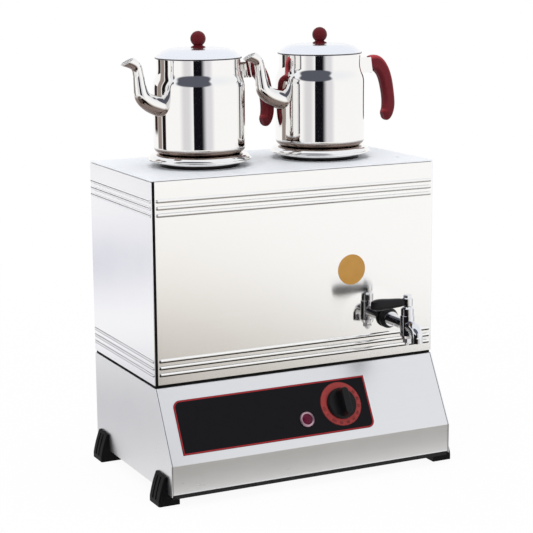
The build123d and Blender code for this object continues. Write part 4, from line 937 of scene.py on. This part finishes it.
class URN_OT_stage(bpy.types.Operator):
    """Pale floor, white tent, soft lamps and the camera"""

    bl_idname = "urn.stage"
    bl_label = "Stage"

    def execute(self, context):
        stage = context.scene.urn_stage
        self.make_tent(stage)
        self.make_floor()
        self.make_cards()
        self.make_lamp("overhead_lamp", stage.overhead_power, 1.8, Vector((-0.2, -0.3, 2.4)))
        self.make_lamp("side_lamp", stage.side_power, 1.4, Vector((-1.9, -1.7, 1.7)))
        self.make_camera(stage)
        context.scene.view_settings.view_transform = "Standard"
        return {"FINISHED"}

    def make_tent(self, stage):
        world = bpy.data.worlds.new("white_tent")
        bpy.context.scene.world = world
        tent = Finish(world)
        height = tent.axes(tent.add("ShaderNodeTexCoord", output="Generated"))[2]
        above = tent.ramp(height, 0.12, 0.62)
        walls = tent.mix(above, WHITE, srgb(245, 247, 251))
        paths = tent.add("ShaderNodeLightPath").socket.node.outputs
        camera, glossy, through = [Value(tent, paths[name]) for name in (
            "Is Camera Ray", "Is Glossy Ray", "Is Transmission Ray")]
        seen = tent.add("ShaderNodeBackground", {}, {
            "Color": tent.mix(glossy, WHITE, walls), "Strength": 1.0})
        light = tent.add("ShaderNodeBackground", {}, {
            "Color": WHITE, "Strength": stage.sky_light})
        share = tent.ramp(camera + glossy + through, 0.0, 1.0)
        tent.feed(tent.output.inputs["Surface"],
                  tent.add("ShaderNodeMixShader", {}, {0: share, 1: light, 2: seen}))

    def make_floor(self):
        mesh = bmesh.new()
        bmesh.ops.create_circle(mesh, cap_ends=True, radius=FLOOR_RADIUS, segments=ROUND_SIDES)
        data = bpy.data.meshes.new("floor")
        mesh.to_mesh(data)
        mesh.free()
        floor = bpy.data.objects.new("floor", data)
        floor.location.z = FLOOR_LEVEL
        bpy.context.scene.collection.objects.link(floor)
        finish = new_finish("floor_paper")
        place = finish.place()
        fibre = finish.noise(place, 60.0, 3.0)
        paper = finish.add("ShaderNodeBsdfDiffuse", {}, {
            "Color": finish.mix(fibre, (0.97, 0.97, 0.97), WHITE)})
        glow = finish.add("ShaderNodeEmission", {}, {"Color": WHITE, "Strength": 1.0})
        share = finish.ramp(finish.distance(place), 0.3, 1.6, 0.94, 1.0)
        finish.feed(finish.output.inputs["Surface"],
                    finish.add("ShaderNodeMixShader", {}, {0: share, 1: paper, 2: glow}))
        data.materials.append(finish.owner)

    def make_cards(self):
        pots = Vector((0, 0.034, 0))
        soft_card("camera_slit", (1.95, 2.4), standing(249, 2.9, 1.0, pots), srgb(16, 16, 22), (0.05, 0.02))
        soft_card("left_halo", (1.9, 2.2), standing(214, 2.7, 0.9, pots), srgb(222, 221, 224), (0.4, 0.1))
        soft_card("right_halo", (1.7, 2.2), standing(268, 2.7, 0.9, pots), srgb(224, 223, 228), (0.4, 0.1))
        soft_card("left_flag", (0.4, 1.3), standing(152, 1.5, 0.7, pots), srgb(26, 21, 20), (0.2, 0.05))
        soft_card("middle_flag", (0.55, 1.2), standing(135, 1.52, 0.75, pots), srgb(150, 138, 131),
                  (0.2, 0.05))
        soft_card("rear_flag", (0.56, 0.34), standing(117, 1.5, 0.48, pots), srgb(54, 41, 37), (0.2, 0.05))
        soft_card("ceiling_flag", (4.4, 1.75), leaning(231, 36, 2.2, pots + Vector((0, 0, 0.55))),
                  srgb(88, 90, 101), (0.14, 0.14), oval=True)
        soft_card("front_floor_shade", (1.7, 1.3), lying(0.0, -0.79, 0, 2), srgb(200, 194, 187), (0.5, 0.42))
        soft_card("lip_floor_shade", (1.6, 0.52), lying(0.0, -0.37, 0, 10), srgb(172, 169, 164), (0.3, 0.3))
        soft_card("left_front_shade", (1.6, 1.6), lying(-0.1, -1.35, 25, 1), srgb(245, 240, 233),
                  (0.375, 0.35))
        soft_card("tap_floor_shade", (0.95, 0.9), lying(-0.39, -0.84, 0, 7), srgb(22, 20, 22), (0.2, 0.2))
        soft_card("tap_side_shade", (0.8, 0.8), lying(-0.78, -0.26, 0, 6), srgb(150, 148, 150), (0.2, 0.2))
        low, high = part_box("tap_washer")
        tap = Vector(((low.x + high.x) / 2, low.y, 0))
        soft_card("tap_flag", (0.5, 0.3), standing(214, 0.44, 0.15, tap), srgb(18, 17, 19), (0.1, 0.05))
        soft_card("left_floor_shade", (0.9, 1.7), lying(-1.2, -0.6, 0, 3), srgb(124, 110, 102), (0.3, 0.3))
        soft_card("side_floor_shade", (0.8, 1.2), lying(-0.36, 0.35, 0, 4), srgb(214, 214, 218), (0.5, 0.5))
        soft_card("back_floor_shade", (1.0, 1.3), lying(-0.7, 1.6, 0, 5), srgb(212, 212, 223), (0.5, 0.5))
        soft_card("back_room_shade", (1.7, 2.0), lying(0.38, 1.3, 0, 8), srgb(176, 176, 183), (0.5, 0.5))
        soft_card("right_room_shade", (2.0, 1.5), lying(1.4, 0.05, 0, 9), srgb(176, 176, 183), (0.5, 0.5))

    def make_lamp(self, name, power, size, place):
        lamp = bpy.data.lights.new(name, "AREA")
        lamp.energy = power
        lamp.shape = "DISK"
        lamp.size = size
        holder = bpy.data.objects.new(name, lamp)
        aim = LAMP_AIM - place
        holder.matrix_world = Matrix.Translation(place) @ aim.to_track_quat("-Z", "Y").to_matrix().to_4x4()
        holder.visible_glossy = False
        bpy.context.scene.collection.objects.link(holder)

    def make_camera(self, stage):
        turn, pitch, roll = stage.camera_turn, stage.camera_pitch, stage.camera_roll
        back = Vector((math.sin(turn) * math.cos(pitch), -math.cos(turn) * math.cos(pitch), math.sin(pitch)))
        right = Vector((math.cos(turn), math.sin(turn), 0))
        up = back.cross(right)
        side = right * math.cos(roll) + up * math.sin(roll)
        head = up * math.cos(roll) - right * math.sin(roll)
        lens = bpy.data.cameras.new("camera")
        lens.sensor_width = 36.0
        lens.lens = stage.camera_lens
        lens.clip_end = 100.0
        camera = bpy.data.objects.new("camera", lens)
        camera.matrix_world = (Matrix.Translation(Vector(stage.camera_place))
                               @ Matrix((side, head, back)).transposed().to_4x4())
        bpy.context.scene.collection.objects.link(camera)
        bpy.context.scene.camera = camera


OPERATORS = (
    URN_OT_casing, URN_OT_base, URN_OT_rubber, URN_OT_label, URN_OT_dial, URN_OT_sticker, URN_OT_tap,
    URN_OT_pilot_lamp, URN_OT_teapots, URN_OT_inside, URN_OT_stage)


class URN_PT_dressing(bpy.types.Panel):
    """The urn's pieces and finishes, in the order in which they are made"""

    bl_idname = "URN_PT_dressing"
    bl_label = "Tea urn"
    bl_space_type = "VIEW_3D"
    bl_region_type = "UI"
    bl_category = "Tea urn"

    def draw(self, context):
        for operator in OPERATORS:
            self.layout.operator(operator.bl_idname)
        for name in UrnFinishes.__annotations__:
            self.layout.prop(context.scene.urn_finishes, name)
        for name in UrnTeapots.__annotations__:
            self.layout.prop(context.scene.urn_teapots, name)
        for name in UrnStage.__annotations__:
            self.layout.prop(context.scene.urn_stage, name)


CLASSES = (UrnFinishes, UrnTeapots, UrnStage, *OPERATORS, URN_PT_dressing)


def register():
    for item in CLASSES:
        bpy.utils.register_class(item)
    bpy.types.Scene.urn_finishes = PointerProperty(type=UrnFinishes)
    bpy.types.Scene.urn_teapots = PointerProperty(type=UrnTeapots)
    bpy.types.Scene.urn_stage = PointerProperty(type=UrnStage)


def unregister():
    del bpy.types.Scene.urn_stage
    del bpy.types.Scene.urn_teapots
    del bpy.types.Scene.urn_finishes
    for item in reversed(CLASSES):
        bpy.utils.unregister_class(item)


def main():
    register()
    bpy.ops.urn.casing()
    bpy.ops.urn.base()
    bpy.ops.urn.rubber()
    bpy.ops.urn.label()
    bpy.ops.urn.dial()
    bpy.ops.urn.sticker()
    bpy.ops.urn.tap()
    bpy.ops.urn.pilot_lamp()
    bpy.ops.urn.teapots()
    bpy.ops.urn.inside()
    bpy.ops.urn.stage()


if __name__ == "__main__":
    main()
